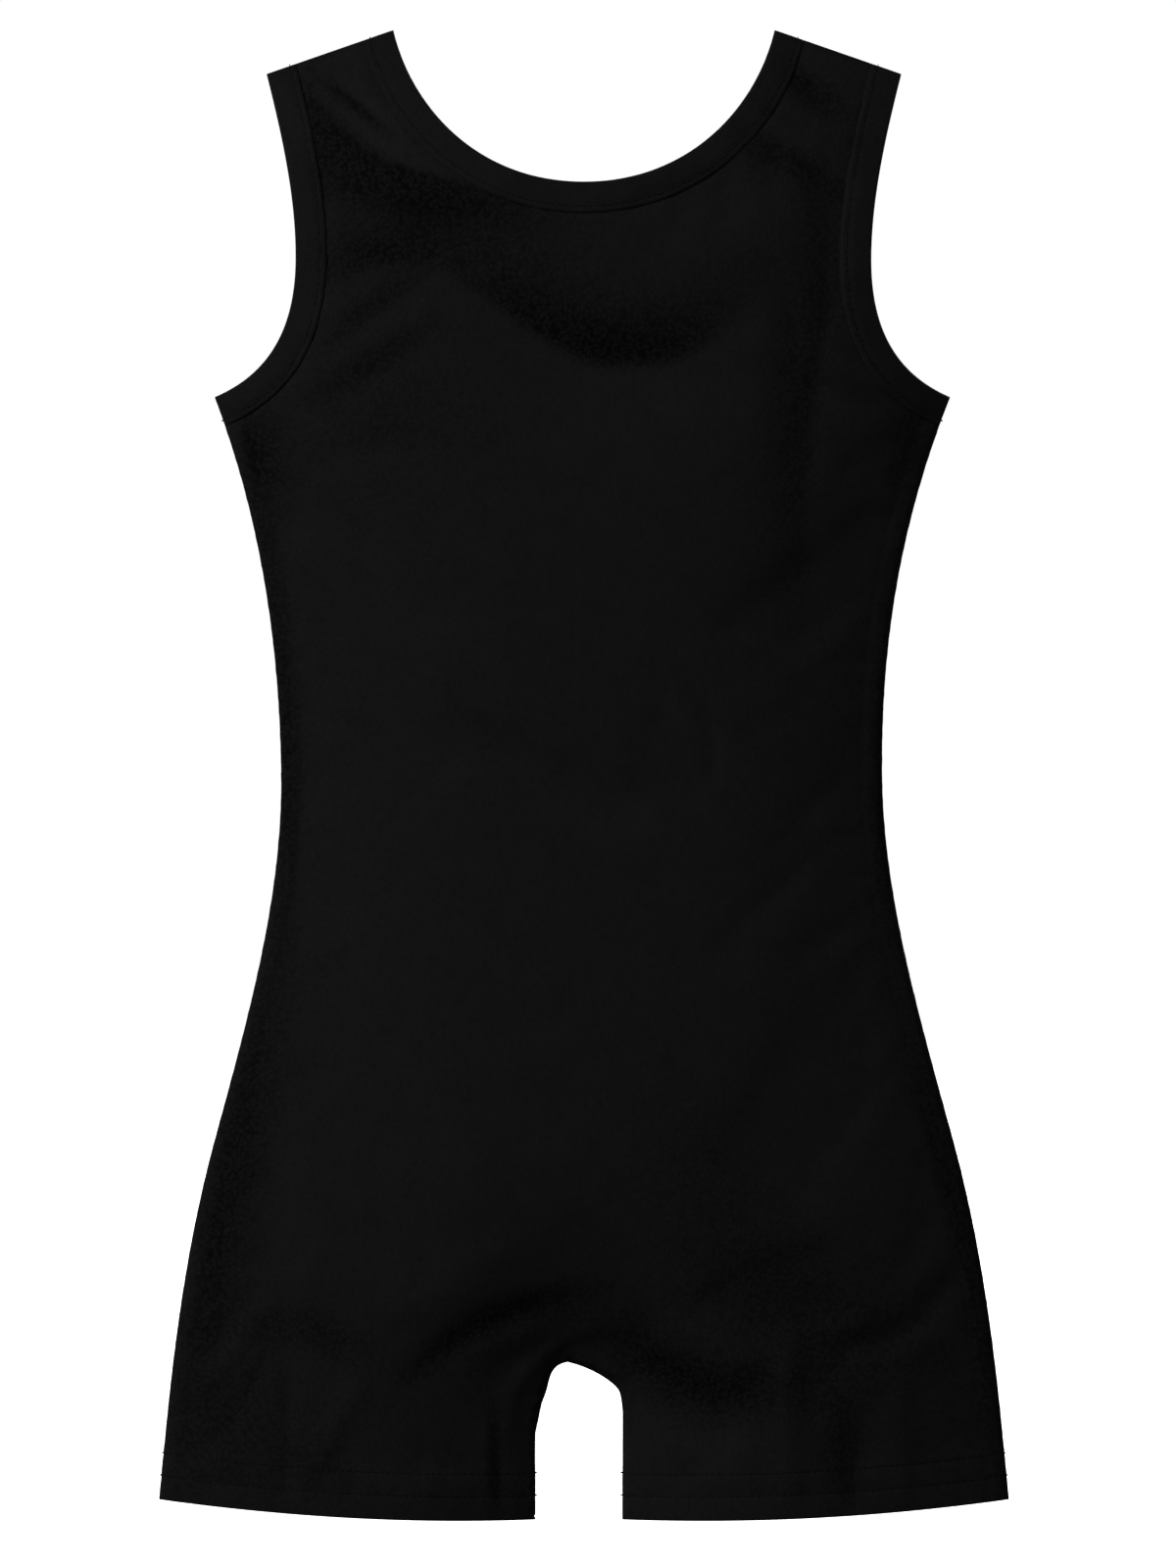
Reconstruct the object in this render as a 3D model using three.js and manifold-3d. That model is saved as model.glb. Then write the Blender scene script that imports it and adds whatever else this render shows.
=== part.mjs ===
// A child's gymnastics leotard with short legs (a biketard) in black stretch knit, hanging upright
// and gently filled. A front and a back panel are joined at the shoulders, the sides and the inseam.
// Folded bindings with elastic inside finish the neck and the armholes, and the leg ends are turned
// up and held by two rows of stitching.
//
// Millimetres. +X is the wearer's left, -Y is the front and +Z is up. The origin lies midway between
// the two shoulder tops, on the level that the garment hangs from.

import * as THREE from 'three';
import { mergeVertices } from 'three/addons/utils/BufferGeometryUtils.js';
import Module from 'manifold-3d';

// Widths of the finished garment, each across the whole body
const neckWidth = 154;
const shoulderWidth = 255;
const acrossChest = 231; // the narrowest place between the armholes
const chestWidth = 296; // underarm to underarm
const waistWidth = 242;
const hipWidth = 297;
const legSpan = 342; // outer corner of one leg hem to that of the other
const legGap = 35; // between the two legs

// Drops, measured straight down from the neck end of the shoulders
const bodyLength = 600; // to the lowest point of the hems
const shoulderDrop = 17.5; // to the outer end of the shoulders
const frontNeckDrop = 61.5;
const backNeckDrop = 96;
const acrossChestDrop = 92;
const underarmDrop = 148;
const waistDrop = 300;
const hipDrop = 446;
const crotchRise = 63; // from the lowest point of the hems up to the crotch
const crotchArch = 21; // height of the rounded top of the gap between the legs
const hemSideRise = 8.6; // the outer hem corner stands this far above the lowest point

// How far each panel stands out from the seams at the middle of the body
const chestFill = 24;
const waistFill = 20;
const hipFill = 23;
const legFill = 22;
const shoulderRun = 88; // length over which the fill grows below the shoulder seams
const crotchRun = 75; // the same, out from the inseam

// Cloth, trims and stitching
const cloth = 0.6;
const bindingWidth = 12;
const elasticThickness = 0.6;
const hemDepth = 20;
const seamAllowance = 6.5;
const seamThickness = 1.2; // two layers of cloth bound with thread
const tapeWidth = 6;
const tapeThickness = 0.4;
const thread = 0.45;
const stitchInset = 2.4; // a topstitch row lies this far inside a binding's free edge
const twinNeedleGap = 9; // between the two rows on the leg hems
const liningWidth = 84;
const liningHeight = 100;
const labelWidth = 30;
const labelHeight = 24;
const labelThickness = 0.5;

// Clearances
const layerGap = 0.3; // between layers that lie on each other
const wrapGap = 0.5; // between a panel and the binding around it
const seamGap = 0.3; // between the front and back pieces at a seam

// Fineness of the surfaces
const gridRow = 25; // height of one row of faces, on average
const edgeSteps = 14;
const hemSteps = 10;

const crotchDrop = bodyLength - crotchRise;
const hemSideDrop = bodyLength - hemSideRise;
const reach = 2 * bodyLength; // past everything, for the cutting prisms

// A smooth line through stations of [place, value, slope], going on straight past both ends
function throughStations(stations) {
  return (place) => {
    let i = 0;
    while (i < stations.length - 2 && place > stations[i + 1][0]) i += 1;
    const [a, valueA, slopeA] = stations[i];
    const [b, valueB, slopeB] = stations[i + 1];
    if (place < a) return valueA + slopeA * (place - a);
    if (place > b) return valueB + slopeB * (place - b);
    const t = (place - a) / (b - a);
    const rise = t * t * (3 - 2 * t);
    const bulge = (b - a) * t * (1 - t) * ((1 - t) * slopeA - t * slopeB);
    return valueA + (valueB - valueA) * rise + bulge;
  };
}

// Half the width between the side seams at a drop. Above the underarm the line goes on upwards, to
// where the sides would meet if the armholes weren't cut.
const meanTaper = (waistWidth - chestWidth) / 2 / (waistDrop - underarmDrop);
const meanFlare = (legSpan - waistWidth) / 2 / (hemSideDrop - waistDrop);
const halfWidth = throughStations([
  [underarmDrop, chestWidth / 2, 2.2 * meanTaper],
  [waistDrop, waistWidth / 2, 0],
  [hipDrop, hipWidth / 2, 1.6 * meanFlare],
  [hemSideDrop, legSpan / 2, 0.5 * meanFlare],
]);
const fill = throughStations([
  [underarmDrop, chestFill, 0],
  [waistDrop, waistFill, 0],
  [hipDrop, hipFill, 0],
  [bodyLength, legFill, 0],
]);
const shoulderPitch = shoulderDrop / ((shoulderWidth - neckWidth) / 2);

// Rises from 0 at a seam to 1 at `run` away from it, and stays there
function awayFrom(distance, run) {
  return distance < run ? 1 - (1 - distance / run) ** 2 : 1;
}

// How far the cloth stands out from the plane of the seams at (x, z)
function standOut(x, z) {
  const across = Math.abs(x) / halfWidth(-z);
  const belowShoulder = -z - (Math.abs(x) - neckWidth / 2) * shoulderPitch;
  const archBase = crotchDrop + crotchArch;
  const aboveArch = Math.max(0, archBase + z) * (legGap / 2 / crotchArch);
  const fromInseam = Math.hypot(x, aboveArch) - legGap / 2;
  const seams = awayFrom(belowShoulder, shoulderRun) * awayFrom(fromInseam, crotchRun);
  return fill(-z) * (1 - across ** 3) * seams;
}

// The point at (x, z) on the front, `height` outside the inner face of the panel
function onFront(x, z, height) {
  const step = 0.5;
  const slopeX = (standOut(x + step, z) - standOut(x - step, z)) / (2 * step);
  const slopeZ = (standOut(x, z + step) - standOut(x, z - step)) / (2 * step);
  const outward = new THREE.Vector3(-slopeX, -1, -slopeZ).normalize();
  return new THREE.Vector3(x, -standOut(x, z), z).addScaledVector(outward, height);
}

// --- Solids -------------------------------------------------------------------------------------

const wasm = await Module();
wasm.setup();

function solidOf(vertices, triangles) {
  const vertProperties = new Float32Array(vertices);
  const solid = new wasm.Manifold(
    new wasm.Mesh({ numProp: 3, vertProperties, triVerts: new Uint32Array(triangles) }),
  );
  if (solid.volume() > 0) return solid;
  const flipped = triangles.map((v, i) => triangles[i - (i % 3) + ((3 - (i % 3)) % 3)]);
  return new wasm.Manifold(
    new wasm.Mesh({ numProp: 3, vertProperties, triVerts: new Uint32Array(flipped) }),
  );
}

// A closed solid through equal rings of points, with each end closed by the given triangles. The
// faces that `otherWay` picks are split along their other diagonal.
function loft(rings, capTriangles, otherWay = () => false) {
  const size = rings[0].length;
  const triangles = [];
  for (let r = 0; r < rings.length - 1; r += 1) {
    for (let i = 0; i < size; i += 1) {
      const a = r * size + i;
      const b = r * size + ((i + 1) % size);
      if (otherWay(i)) triangles.push(a, b, a + size, b, b + size, a + size);
      else triangles.push(a, b, b + size, a, b + size, a + size);
    }
  }
  const lastRing = (rings.length - 1) * size;
  for (const [a, b, c] of capTriangles) {
    triangles.push(c, b, a);
    triangles.push(a + lastRing, b + lastRing, c + lastRing);
  }
  return solidOf(rings.flat().flatMap((p) => [p.x, p.y, p.z]), triangles);
}

// An outline in x and z, run straight through from `near` to `far` in front of the seams' plane
function prism(outline, near, far) {
  const shape = new THREE.Shape(outline);
  const geometry = new THREE.ExtrudeGeometry(shape, { depth: far - near, bevelEnabled: false });
  geometry.rotateX(Math.PI / 2);
  geometry.translate(0, -near, 0);
  geometry.deleteAttribute('normal');
  geometry.deleteAttribute('uv');
  const merged = mergeVertices(geometry);
  return solidOf([...merged.attributes.position.array], [...merged.index.array]);
}

const frontPrism = (outline) => prism(outline, seamGap / 2, reach);

// --- Edges of the pattern ------------------------------------------------------------------------

// Points along an edge, each with the direction that leads from it into the cloth. `turn` is +1
// where the cloth lies to the left of the way along the edge, and -1 where it lies to the right.
// `overrun` carries both ends on straight, for pieces that are trimmed at a seam.
function edgeAlong(points, turn, overrun = 0) {
  const line = [...points];
  if (overrun) {
    const past = (end, next) => end.clone().sub(next).setLength(overrun).add(end);
    line.unshift(past(points[0], points[1]));
    line.push(past(points[points.length - 1], points[points.length - 2]));
  }
  const inward = line.map((_, i) => {
    const before = line[Math.max(0, i - 1)];
    const after = line[Math.min(line.length - 1, i + 1)];
    const along = after.clone().sub(before).normalize();
    return new THREE.Vector2(-along.y * turn, along.x * turn);
  });
  const inset = (distance) => line.map((p, i) => p.clone().addScaledVector(inward[i], distance));
  return { inset };
}

const mirrored = (points) => points.map((p) => new THREE.Vector2(-p.x, p.y)).reverse();

// From one shoulder, down around the neck and up to the other
function neckEdge(neckDrop) {
  const half = neckWidth / 2;
  const side = new THREE.CubicBezierCurve(
    new THREE.Vector2(half, 0),
    new THREE.Vector2(0.91 * half, -0.49 * neckDrop),
    new THREE.Vector2(0.57 * half, -neckDrop),
    new THREE.Vector2(0, -neckDrop),
  );
  const points = side.getSpacedPoints(edgeSteps / 2);
  return edgeAlong([...points, ...mirrored(points).slice(1)], 1, bindingWidth);
}

// From the outer end of the left shoulder down to the underarm
function armholeEdge() {
  const top = new THREE.Vector2(shoulderWidth / 2, -shoulderDrop);
  const narrow = new THREE.Vector2(acrossChest / 2, -acrossChestDrop);
  const underarm = new THREE.Vector2(chestWidth / 2, -underarmDrop);
  const upper = narrow.clone().sub(top);
  const lower = underarm.clone().sub(narrow);
  const path = new THREE.CurvePath();
  path.add(new THREE.CubicBezierCurve(
    top,
    new THREE.Vector2(top.x + 0.52 * upper.x, top.y + 0.33 * upper.y),
    new THREE.Vector2(narrow.x, narrow.y - 0.33 * upper.y),
    narrow,
  ));
  path.add(new THREE.CubicBezierCurve(
    narrow,
    new THREE.Vector2(narrow.x, narrow.y + 0.46 * lower.y),
    new THREE.Vector2(underarm.x - 0.74 * lower.x, underarm.y - 0.18 * lower.y),
    underarm,
  ));
  return edgeAlong(path.getSpacedPoints(edgeSteps), -1, bindingWidth);
}

// From the inner corner of the left leg hem to its outer corner
function hemLine() {
  return new THREE.QuadraticBezierCurve(
    new THREE.Vector2(legGap / 2, -bodyLength + 0.5),
    new THREE.Vector2((legGap + legSpan) / 4, -bodyLength - 2),
    new THREE.Vector2(legSpan / 2, -hemSideDrop),
  ).getSpacedPoints(hemSteps);
}

// Up the left leg from `start` above the hem, over the crotch and down the right leg
function inseamLine(start) {
  const left = [];
  for (let i = 0; i <= 6; i += 1) {
    const angle = (Math.PI / 2) * (i / 6);
    left.push(new THREE.Vector2(
      (legGap / 2) * Math.cos(angle),
      -crotchDrop - crotchArch * (1 - Math.sin(angle)),
    ));
  }
  left.unshift(new THREE.Vector2(legGap / 2, -bodyLength + 0.5 + start));
  return [...left, ...mirrored(left).slice(1)];
}

// The left side seam between two drops
function sideLine(from, to) {
  const points = [];
  for (let i = 0; i <= edgeSteps; i += 1) {
    const drop = from + ((to - from) * i) / edgeSteps;
    points.push(new THREE.Vector2(halfWidth(drop), -drop));
  }
  return points;
}

const neckFront = neckEdge(frontNeckDrop);
const neckBack = neckEdge(backNeckDrop);
const armhole = armholeEdge();
const hem = edgeAlong(hemLine(), 1, bindingWidth);
const band = (edge, from, to) => [...edge.inset(from), ...edge.inset(to).reverse()];

// --- Cloth layers and the prisms that cut them ----------------------------------------------------

// Columns as shares of the half width: close together where the cloth bends most, near the inseam
// and the side seams, and just past the seams at the ends
const columns = [0, 0.08, 0.16, 0.25, 0.35, 0.46, 0.57, 0.68, 0.78, 0.88, 0.96, 1.06];

// The whole front as one sheet between two heights, larger than the pattern on every side
function layer(from, to) {
  const shares = [...columns.slice(1).reverse().map((c) => -c), ...columns];
  const start = -shoulderDrop;
  const end = bodyLength + shoulderDrop;
  const gridRows = Math.round(bodyLength / gridRow);
  const rings = [];
  for (let i = 0; i <= gridRows; i += 1) {
    const t = i / gridRows;
    const eased = t - (0.6 * Math.sin(2 * Math.PI * t)) / (2 * Math.PI);
    const drop = start + (end - start) * eased;
    const places = shares.map((share) => share * halfWidth(drop));
    const outer = places.map((x) => onFront(x, -drop, to));
    const inner = places.map((x) => onFront(x, -drop, from));
    rings.push([...outer, ...inner.reverse()]);
  }
  const caps = [];
  const size = 2 * shares.length;
  for (let i = 0; i < shares.length - 1; i += 1) {
    caps.push([i, i + 1, size - 2 - i], [i, size - 2 - i, size - 1 - i]);
  }
  // the outer and inner faces split alike, and the left and right halves mirror each other
  const half = (shares.length - 1) / 2;
  const otherWay = (i) => (i < shares.length ? i < half : i < shares.length + half);
  return loft(rings, caps, otherWay);
}

// Under both shoulder seams, carried on to where they would cross
const roof = [
  new THREE.Vector2(0, (neckWidth / 2) * shoulderPitch),
  new THREE.Vector2(-reach, (neckWidth / 2 - reach) * shoulderPitch),
  new THREE.Vector2(-reach, -reach),
  new THREE.Vector2(reach, -reach),
  new THREE.Vector2(reach, (neckWidth / 2 - reach) * shoulderPitch),
];
const sideAll = sideLine(-bindingWidth, hemSideDrop);
const withinSeams = frontPrism([...sideAll, ...mirrored(sideAll)]).intersect(frontPrism(roof));
const bodyOutline = [
  ...sideAll,
  ...hemLine().reverse().slice(1),
  ...inseamLine(0).slice(1, -1),
  ...mirrored(hemLine()).reverse(),
  ...mirrored(sideAll).slice(1),
];
const withinBody = frontPrism(bodyOutline).intersect(frontPrism(roof));

// What a neck or armhole takes out of a panel, up to `inset` into the cloth
function neckCut(edge, inset) {
  const line = edge.inset(inset);
  const above = [
    new THREE.Vector2(-neckWidth / 2, bodyLength),
    new THREE.Vector2(neckWidth / 2, bodyLength),
  ];
  return frontPrism([...line, ...above]);
}
function armholeCut(inset) {
  const line = armhole.inset(inset);
  const outside = [
    new THREE.Vector2(bodyLength, -underarmDrop - bindingWidth),
    new THREE.Vector2(bodyLength, 0),
  ];
  return frontPrism([...line, ...outside]);
}

// A strip along an edge. Its cross-section is a list of [distance in from the edge, height].
function strip(edge, section, trim = withinSeams) {
  const lines = section.map(([distance]) => edge.inset(distance));
  const rings = lines[0].map((_, i) => section.map(([, height], k) => {
    const { x, y } = lines[k][i];
    return onFront(x, y, height);
  }));
  const outline = section.map(([distance, height]) => new THREE.Vector2(distance, height));
  return loft(rings, THREE.ShapeUtils.triangulateShape(outline, [])).intersect(trim);
}

const flatStrip = (edge, from, to, low, high, trim) => strip(edge, [
  [from, low],
  [to, low],
  [to, high],
  [from, high],
], trim);

// --- The pieces -----------------------------------------------------------------------------------

const mirrorX = (solid) => solid.mirror([1, 0, 0]);
const mirrorY = (solid) => solid.mirror([0, 1, 0]);

const bindingOuter = cloth + wrapGap; // inner face of a binding's outside half
const elasticOuter = -wrapGap;
const elasticInner = elasticOuter - elasticThickness;
const bindingInner = elasticInner - layerGap; // outer face of a binding's inside half
const panelInset = cloth + wrapGap; // from a finished edge to the panel's cut edge

// A panel with its two leg ends turned up inside
function panel(neck) {
  const turnUp = layer(-layerGap - cloth, -layerGap);
  const fold = layer(-layerGap - cloth, cloth);
  let solid = layer(0, cloth).intersect(withinBody);
  const turned = turnUp.intersect(frontPrism(band(hem, 0, hemDepth)));
  const folded = fold.intersect(frontPrism(band(hem, 0, cloth)));
  for (const side of [(s) => s, mirrorX]) {
    solid = solid.add(side(turned.intersect(withinBody))).add(side(folded.intersect(withinBody)));
    solid = solid.subtract(side(armholeCut(panelInset)));
  }
  return solid.subtract(neckCut(neck, panelInset));
}

// A strip of cloth folded in half around an edge
function binding(edge) {
  return strip(edge, [
    [bindingWidth, bindingOuter + cloth],
    [0, bindingOuter + cloth],
    [0, bindingInner - cloth],
    [bindingWidth, bindingInner - cloth],
    [bindingWidth, bindingInner],
    [cloth, bindingInner],
    [cloth, bindingOuter],
    [bindingWidth, bindingOuter],
  ]);
}

// Flat elastic lying inside a binding, between the panel and the binding's inside half
function elastic(edge) {
  return flatStrip(edge, panelInset, bindingWidth - stitchInset, elasticInner, elasticOuter);
}

// A row of thread on top of a surface at `height`
function stitchRow(edge, distance, height, trim) {
  const low = height + wrapGap;
  return flatStrip(edge, distance - thread / 2, distance + thread / 2, low, low + thread, trim);
}

const bindingStitch = (edge) => stitchRow(edge, bindingWidth - stitchInset, bindingOuter + cloth);
const hemStitch = (distance) => stitchRow(hem, distance, cloth, withinBody);

// A flat piece that stands in the plane of the seams
const seamPlate = (outline) => prism(outline, -seamThickness / 2, seamThickness / 2);

// Near a seam the panels open at these slopes, which sets how close to it a thickness fits
const widestHalf = Math.max(chestWidth, hipWidth, legSpan) / 2;
const sideSlope = (3 * Math.min(waistFill, legFill)) / widestHalf;
const overlockEnd = shoulderWidth / 2 - bindingWidth - 2;
const shoulderShare = 1 - (overlockEnd / halfWidth(shoulderDrop)) ** 3;
const shoulderSlope = (1.8 * chestFill * shoulderShare) / shoulderRun;
const inseamSlope = (1.8 * Math.min(hipFill, legFill)) / crotchRun;
const sideRoot = (seamThickness / 2 + wrapGap) / sideSlope;
const shoulderRoot = (seamThickness / 2 + wrapGap) / shoulderSlope;
const liningStack = 1.3 * (layerGap + cloth); // measured across the slope
const inseamRoot = (seamThickness / 2 + wrapGap + liningStack) / inseamSlope;

function sideOverlock() {
  const from = underarmDrop + 2 * bindingWidth;
  const to = hemSideDrop - hemDepth - bindingWidth / 2;
  const seam = edgeAlong(sideLine(from, to), -1);
  return seamPlate(band(seam, sideRoot, sideRoot + seamAllowance));
}

// The shoulder seam between the neck binding and the armhole binding
function shoulderEdge() {
  const from = neckWidth / 2 + bindingWidth + 2;
  const points = [from, overlockEnd].map((x) => new THREE.Vector2(x, (neckWidth / 2 - x) * shoulderPitch));
  return edgeAlong(points, -1);
}

function shoulderOverlock() {
  return seamPlate(band(shoulderEdge(), shoulderRoot, shoulderRoot + seamAllowance));
}

function shoulderTape() {
  const near = seamThickness / 2 + layerGap;
  const root = (near + tapeThickness + wrapGap) / shoulderSlope;
  return prism(band(shoulderEdge(), root, root + tapeWidth), near, near + tapeThickness);
}

function inseamOverlock() {
  const seam = edgeAlong(inseamLine(hemDepth + bindingWidth / 2), -1);
  return seamPlate(band(seam, inseamRoot, inseamRoot + seamAllowance));
}

// The front half of the soft lining inside the crotch
function crotchLining() {
  const middle = -crotchDrop + crotchArch / 2;
  const oval = new THREE.EllipseCurve(0, middle, liningWidth / 2, liningHeight / 2);
  const inseam = edgeAlong(inseamLine(0), -1);
  const gap = frontPrism([...inseam.inset(2 * cloth)]);
  const sheet = layer(-layerGap - cloth, -layerGap);
  const cut = sheet.intersect(frontPrism(oval.getPoints(2 * edgeSteps).slice(1)));
  return cut.subtract(gap).intersect(withinSeams);
}

// A blank folded label caught in the left side seam
function careLabel() {
  const drop = (waistDrop + hipDrop) / 2;
  const outer = halfWidth(drop - labelHeight / 2) - sideRoot - seamAllowance - 1;
  const low = -drop - labelHeight / 2;
  const outline = [
    new THREE.Vector2(outer - labelWidth, low),
    new THREE.Vector2(outer, low),
    new THREE.Vector2(outer, low + labelHeight),
    new THREE.Vector2(outer - labelWidth, low + labelHeight),
  ];
  return prism(outline, -labelThickness / 2, labelThickness / 2);
}

// --- Materials and assembly -----------------------------------------------------------------------

const finish = (color, roughness) => new THREE.MeshStandardMaterial({ color, roughness, metalness: 0 });
const bodyKnit = () => finish(0x101011, 0.78);
const bindingKnit = () => finish(0x0e0e0f, 0.74);
const elasticTape = () => finish(0x1c1c1e, 0.85);
const liningJersey = () => finish(0x17171a, 0.92);
const sewingThread = () => finish(0x141416, 0.6);
const labelSatin = () => finish(0xd9d9d6, 0.5);

const leotard = new THREE.Group();
leotard.name = 'gymnastics_leotard';

function addPiece(name, solid, material) {
  const { vertProperties, triVerts } = solid.getMesh();
  const geometry = new THREE.BufferGeometry();
  geometry.setAttribute('position', new THREE.BufferAttribute(new Float32Array(vertProperties), 3));
  geometry.setIndex([...triVerts]);
  geometry.computeVertexNormals();
  const mesh = new THREE.Mesh(geometry, material);
  mesh.name = name;
  leotard.add(mesh);
}

function addPair(name, solid, material) {
  addPiece(`${name}_left`, solid, material());
  addPiece(`${name}_right`, mirrorX(solid), material());
}

for (const [side, neck, place] of [['front', neckFront, (s) => s], ['back', neckBack, mirrorY]]) {
  addPiece(`${side}_panel`, place(panel(neck)), bodyKnit());
  addPiece(`neck_binding_${side}`, place(binding(neck)), bindingKnit());
  addPiece(`neck_elastic_${side}`, place(elastic(neck)), elasticTape());
  addPiece(`neck_topstitch_${side}`, place(bindingStitch(neck)), sewingThread());
  addPair(`armhole_binding_${side}`, place(binding(armhole)), bindingKnit);
  addPair(`armhole_elastic_${side}`, place(elastic(armhole)), elasticTape);
  addPair(`armhole_topstitch_${side}`, place(bindingStitch(armhole)), sewingThread);
  const upperRow = hemDepth - stitchInset / 2;
  addPair(`hem_topstitch_upper_${side}`, place(hemStitch(upperRow)), sewingThread);
  addPair(`hem_topstitch_lower_${side}`, place(hemStitch(upperRow - twinNeedleGap)), sewingThread);
  addPiece(`crotch_lining_${side}`, place(crotchLining()), liningJersey());
}
addPair('side_overlock', sideOverlock(), sewingThread);
addPair('shoulder_overlock', shoulderOverlock(), sewingThread);
addPair('shoulder_stay_tape', shoulderTape(), elasticTape);
addPiece('inseam_overlock', inseamOverlock(), sewingThread());
addPiece('care_label', careLabel(), labelSatin());

export default leotard;
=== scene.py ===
# %% [markdown]
# A gymnast's leotard with short legs, in black stretch knit. On the real garment a front and a back
# panel are sewn together at the shoulders, the sides and the inseam, and every opening is finished:
# folded bindings round the neck and the armholes, and a turned-up hem on each leg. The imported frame
# holds these pieces as plain solids in their true places. This lesson makes the cloth that is seen,
# piece by piece, on the same pattern, and hangs each piece on the frame's one body.

# %% Load the frame
import math

import bpy
import numpy as np
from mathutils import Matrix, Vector
from mathutils.geometry import delaunay_2d_cdt


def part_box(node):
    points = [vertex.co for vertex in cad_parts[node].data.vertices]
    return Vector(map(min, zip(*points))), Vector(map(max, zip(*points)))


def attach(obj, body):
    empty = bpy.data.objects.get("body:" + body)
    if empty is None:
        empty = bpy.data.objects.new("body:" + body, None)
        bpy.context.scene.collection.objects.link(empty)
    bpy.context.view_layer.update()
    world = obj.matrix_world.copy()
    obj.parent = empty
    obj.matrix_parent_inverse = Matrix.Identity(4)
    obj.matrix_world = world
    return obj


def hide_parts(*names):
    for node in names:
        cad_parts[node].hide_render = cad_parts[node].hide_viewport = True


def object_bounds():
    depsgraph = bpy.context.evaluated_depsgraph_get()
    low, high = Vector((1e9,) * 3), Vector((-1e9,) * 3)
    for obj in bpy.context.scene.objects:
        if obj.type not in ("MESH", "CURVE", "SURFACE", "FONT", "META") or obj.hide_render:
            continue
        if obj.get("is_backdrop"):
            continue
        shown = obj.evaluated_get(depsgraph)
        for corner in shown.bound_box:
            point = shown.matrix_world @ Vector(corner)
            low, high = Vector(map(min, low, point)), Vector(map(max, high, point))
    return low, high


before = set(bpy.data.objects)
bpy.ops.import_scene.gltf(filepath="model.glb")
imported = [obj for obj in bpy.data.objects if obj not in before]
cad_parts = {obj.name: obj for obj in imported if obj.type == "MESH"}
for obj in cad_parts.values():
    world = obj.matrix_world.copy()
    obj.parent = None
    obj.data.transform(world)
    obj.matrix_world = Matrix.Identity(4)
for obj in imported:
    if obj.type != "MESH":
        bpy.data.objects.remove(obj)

cad_low, cad_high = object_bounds()
cad_box = [list(cad_low), list(cad_high)]
print("frame box in mm:", [[round(v * 1000, 1) for v in corner] for corner in cad_box])

# %% [markdown]
# Every size below is a pattern cutter's size: how wide, how far down from the shoulder, how thick.
# The overall ones are read from the frame's own nodes, so that the cloth cannot drift away from the
# solids it stands for. The rest are the sizes the garment was designed with.

# %% Sizes of the garment
MM = 0.001
BINDING = 12 * MM
HEM = 20 * MM
CLOTH = 0.6 * MM

panel_low, panel_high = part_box("front_panel")
BODY_LENGTH = -panel_low.z
LEG_SPAN = panel_high.x - panel_low.x
NECK_DROP = {
    "front": -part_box("neck_binding_front")[0].z - BINDING,
    "back": -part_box("neck_binding_back")[0].z - BINDING,
}
NECK_WIDTH = 154 * MM
SHOULDER_WIDTH = 255 * MM
SHOULDER_DROP = 17.5 * MM
ACROSS_CHEST, ACROSS_CHEST_DROP = 231 * MM, 92 * MM
CHEST_WIDTH, UNDERARM_DROP = 296 * MM, 148 * MM
WAIST_WIDTH, WAIST_DROP = 242 * MM, 300 * MM
HIP_WIDTH, HIP_DROP = 297 * MM, 446 * MM
LEG_GAP = 35 * MM
CROTCH_DROP = BODY_LENGTH - 63 * MM
CROTCH_ARCH = 21 * MM
HEM_SIDE_DROP = BODY_LENGTH - 8.6 * MM
CHEST_FILL, WAIST_FILL, HIP_FILL, LEG_FILL = 24 * MM, 20 * MM, 23 * MM, 22 * MM
SHOULDER_RUN = 88 * MM
CROTCH_RUN = 75 * MM
SHOULDER_PITCH = SHOULDER_DROP / ((SHOULDER_WIDTH - NECK_WIDTH) / 2)
print(f"garment {BODY_LENGTH / MM:.0f} mm long, {LEG_SPAN / MM:.0f} mm across the hems")

# %% [markdown]
# The form under the cloth is a rule rather than a sculpted mesh: how wide the garment is at each
# drop, and how far a panel stands out from the plane of the seams. It is zero along the shoulder,
# side and inseam seams and rises smoothly between them, which is the shape that two flat pieces
# take when they are sewn together and gently filled.

# %% The form of the filled garment
def through_stations(stations):
    """A smooth line through stations of (place, value, slope), going on straight past both ends."""
    places = np.array([s[0] for s in stations])

    def line(place):
        place = np.asarray(place, float)
        first = np.clip(np.searchsorted(places, place) - 1, 0, len(stations) - 2)
        a, value_a, slope_a = np.moveaxis(np.array(stations)[first], -1, 0)
        b, value_b, slope_b = np.moveaxis(np.array(stations)[first + 1], -1, 0)
        t = np.clip((place - a) / (b - a), 0, 1)
        bulge = (b - a) * t * (1 - t) * ((1 - t) * slope_a - t * slope_b)
        inside = value_a + (value_b - value_a) * t * t * (3 - 2 * t) + bulge
        beyond = slope_a * np.minimum(place - a, 0) + slope_b * np.maximum(place - b, 0)
        return inside + beyond

    return line


taper = (WAIST_WIDTH - CHEST_WIDTH) / 2 / (WAIST_DROP - UNDERARM_DROP)
flare = (LEG_SPAN - WAIST_WIDTH) / 2 / (HEM_SIDE_DROP - WAIST_DROP)
half_width = through_stations([
    (UNDERARM_DROP, CHEST_WIDTH / 2, 2.2 * taper),
    (WAIST_DROP, WAIST_WIDTH / 2, 0),
    (HIP_DROP, HIP_WIDTH / 2, 1.6 * flare),
    (HEM_SIDE_DROP, LEG_SPAN / 2, 0.5 * flare),
])
fill = through_stations([
    (UNDERARM_DROP, CHEST_FILL, 0),
    (WAIST_DROP, WAIST_FILL, 0),
    (HIP_DROP, HIP_FILL, 0),
    (BODY_LENGTH, LEG_FILL, 0),
])


def away_from(distance, run):
    """Rises from 0 at a seam to 1 at `run` away from it, and stays there."""
    return 1 - (1 - np.minimum(distance / run, 1)) ** 2


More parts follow.
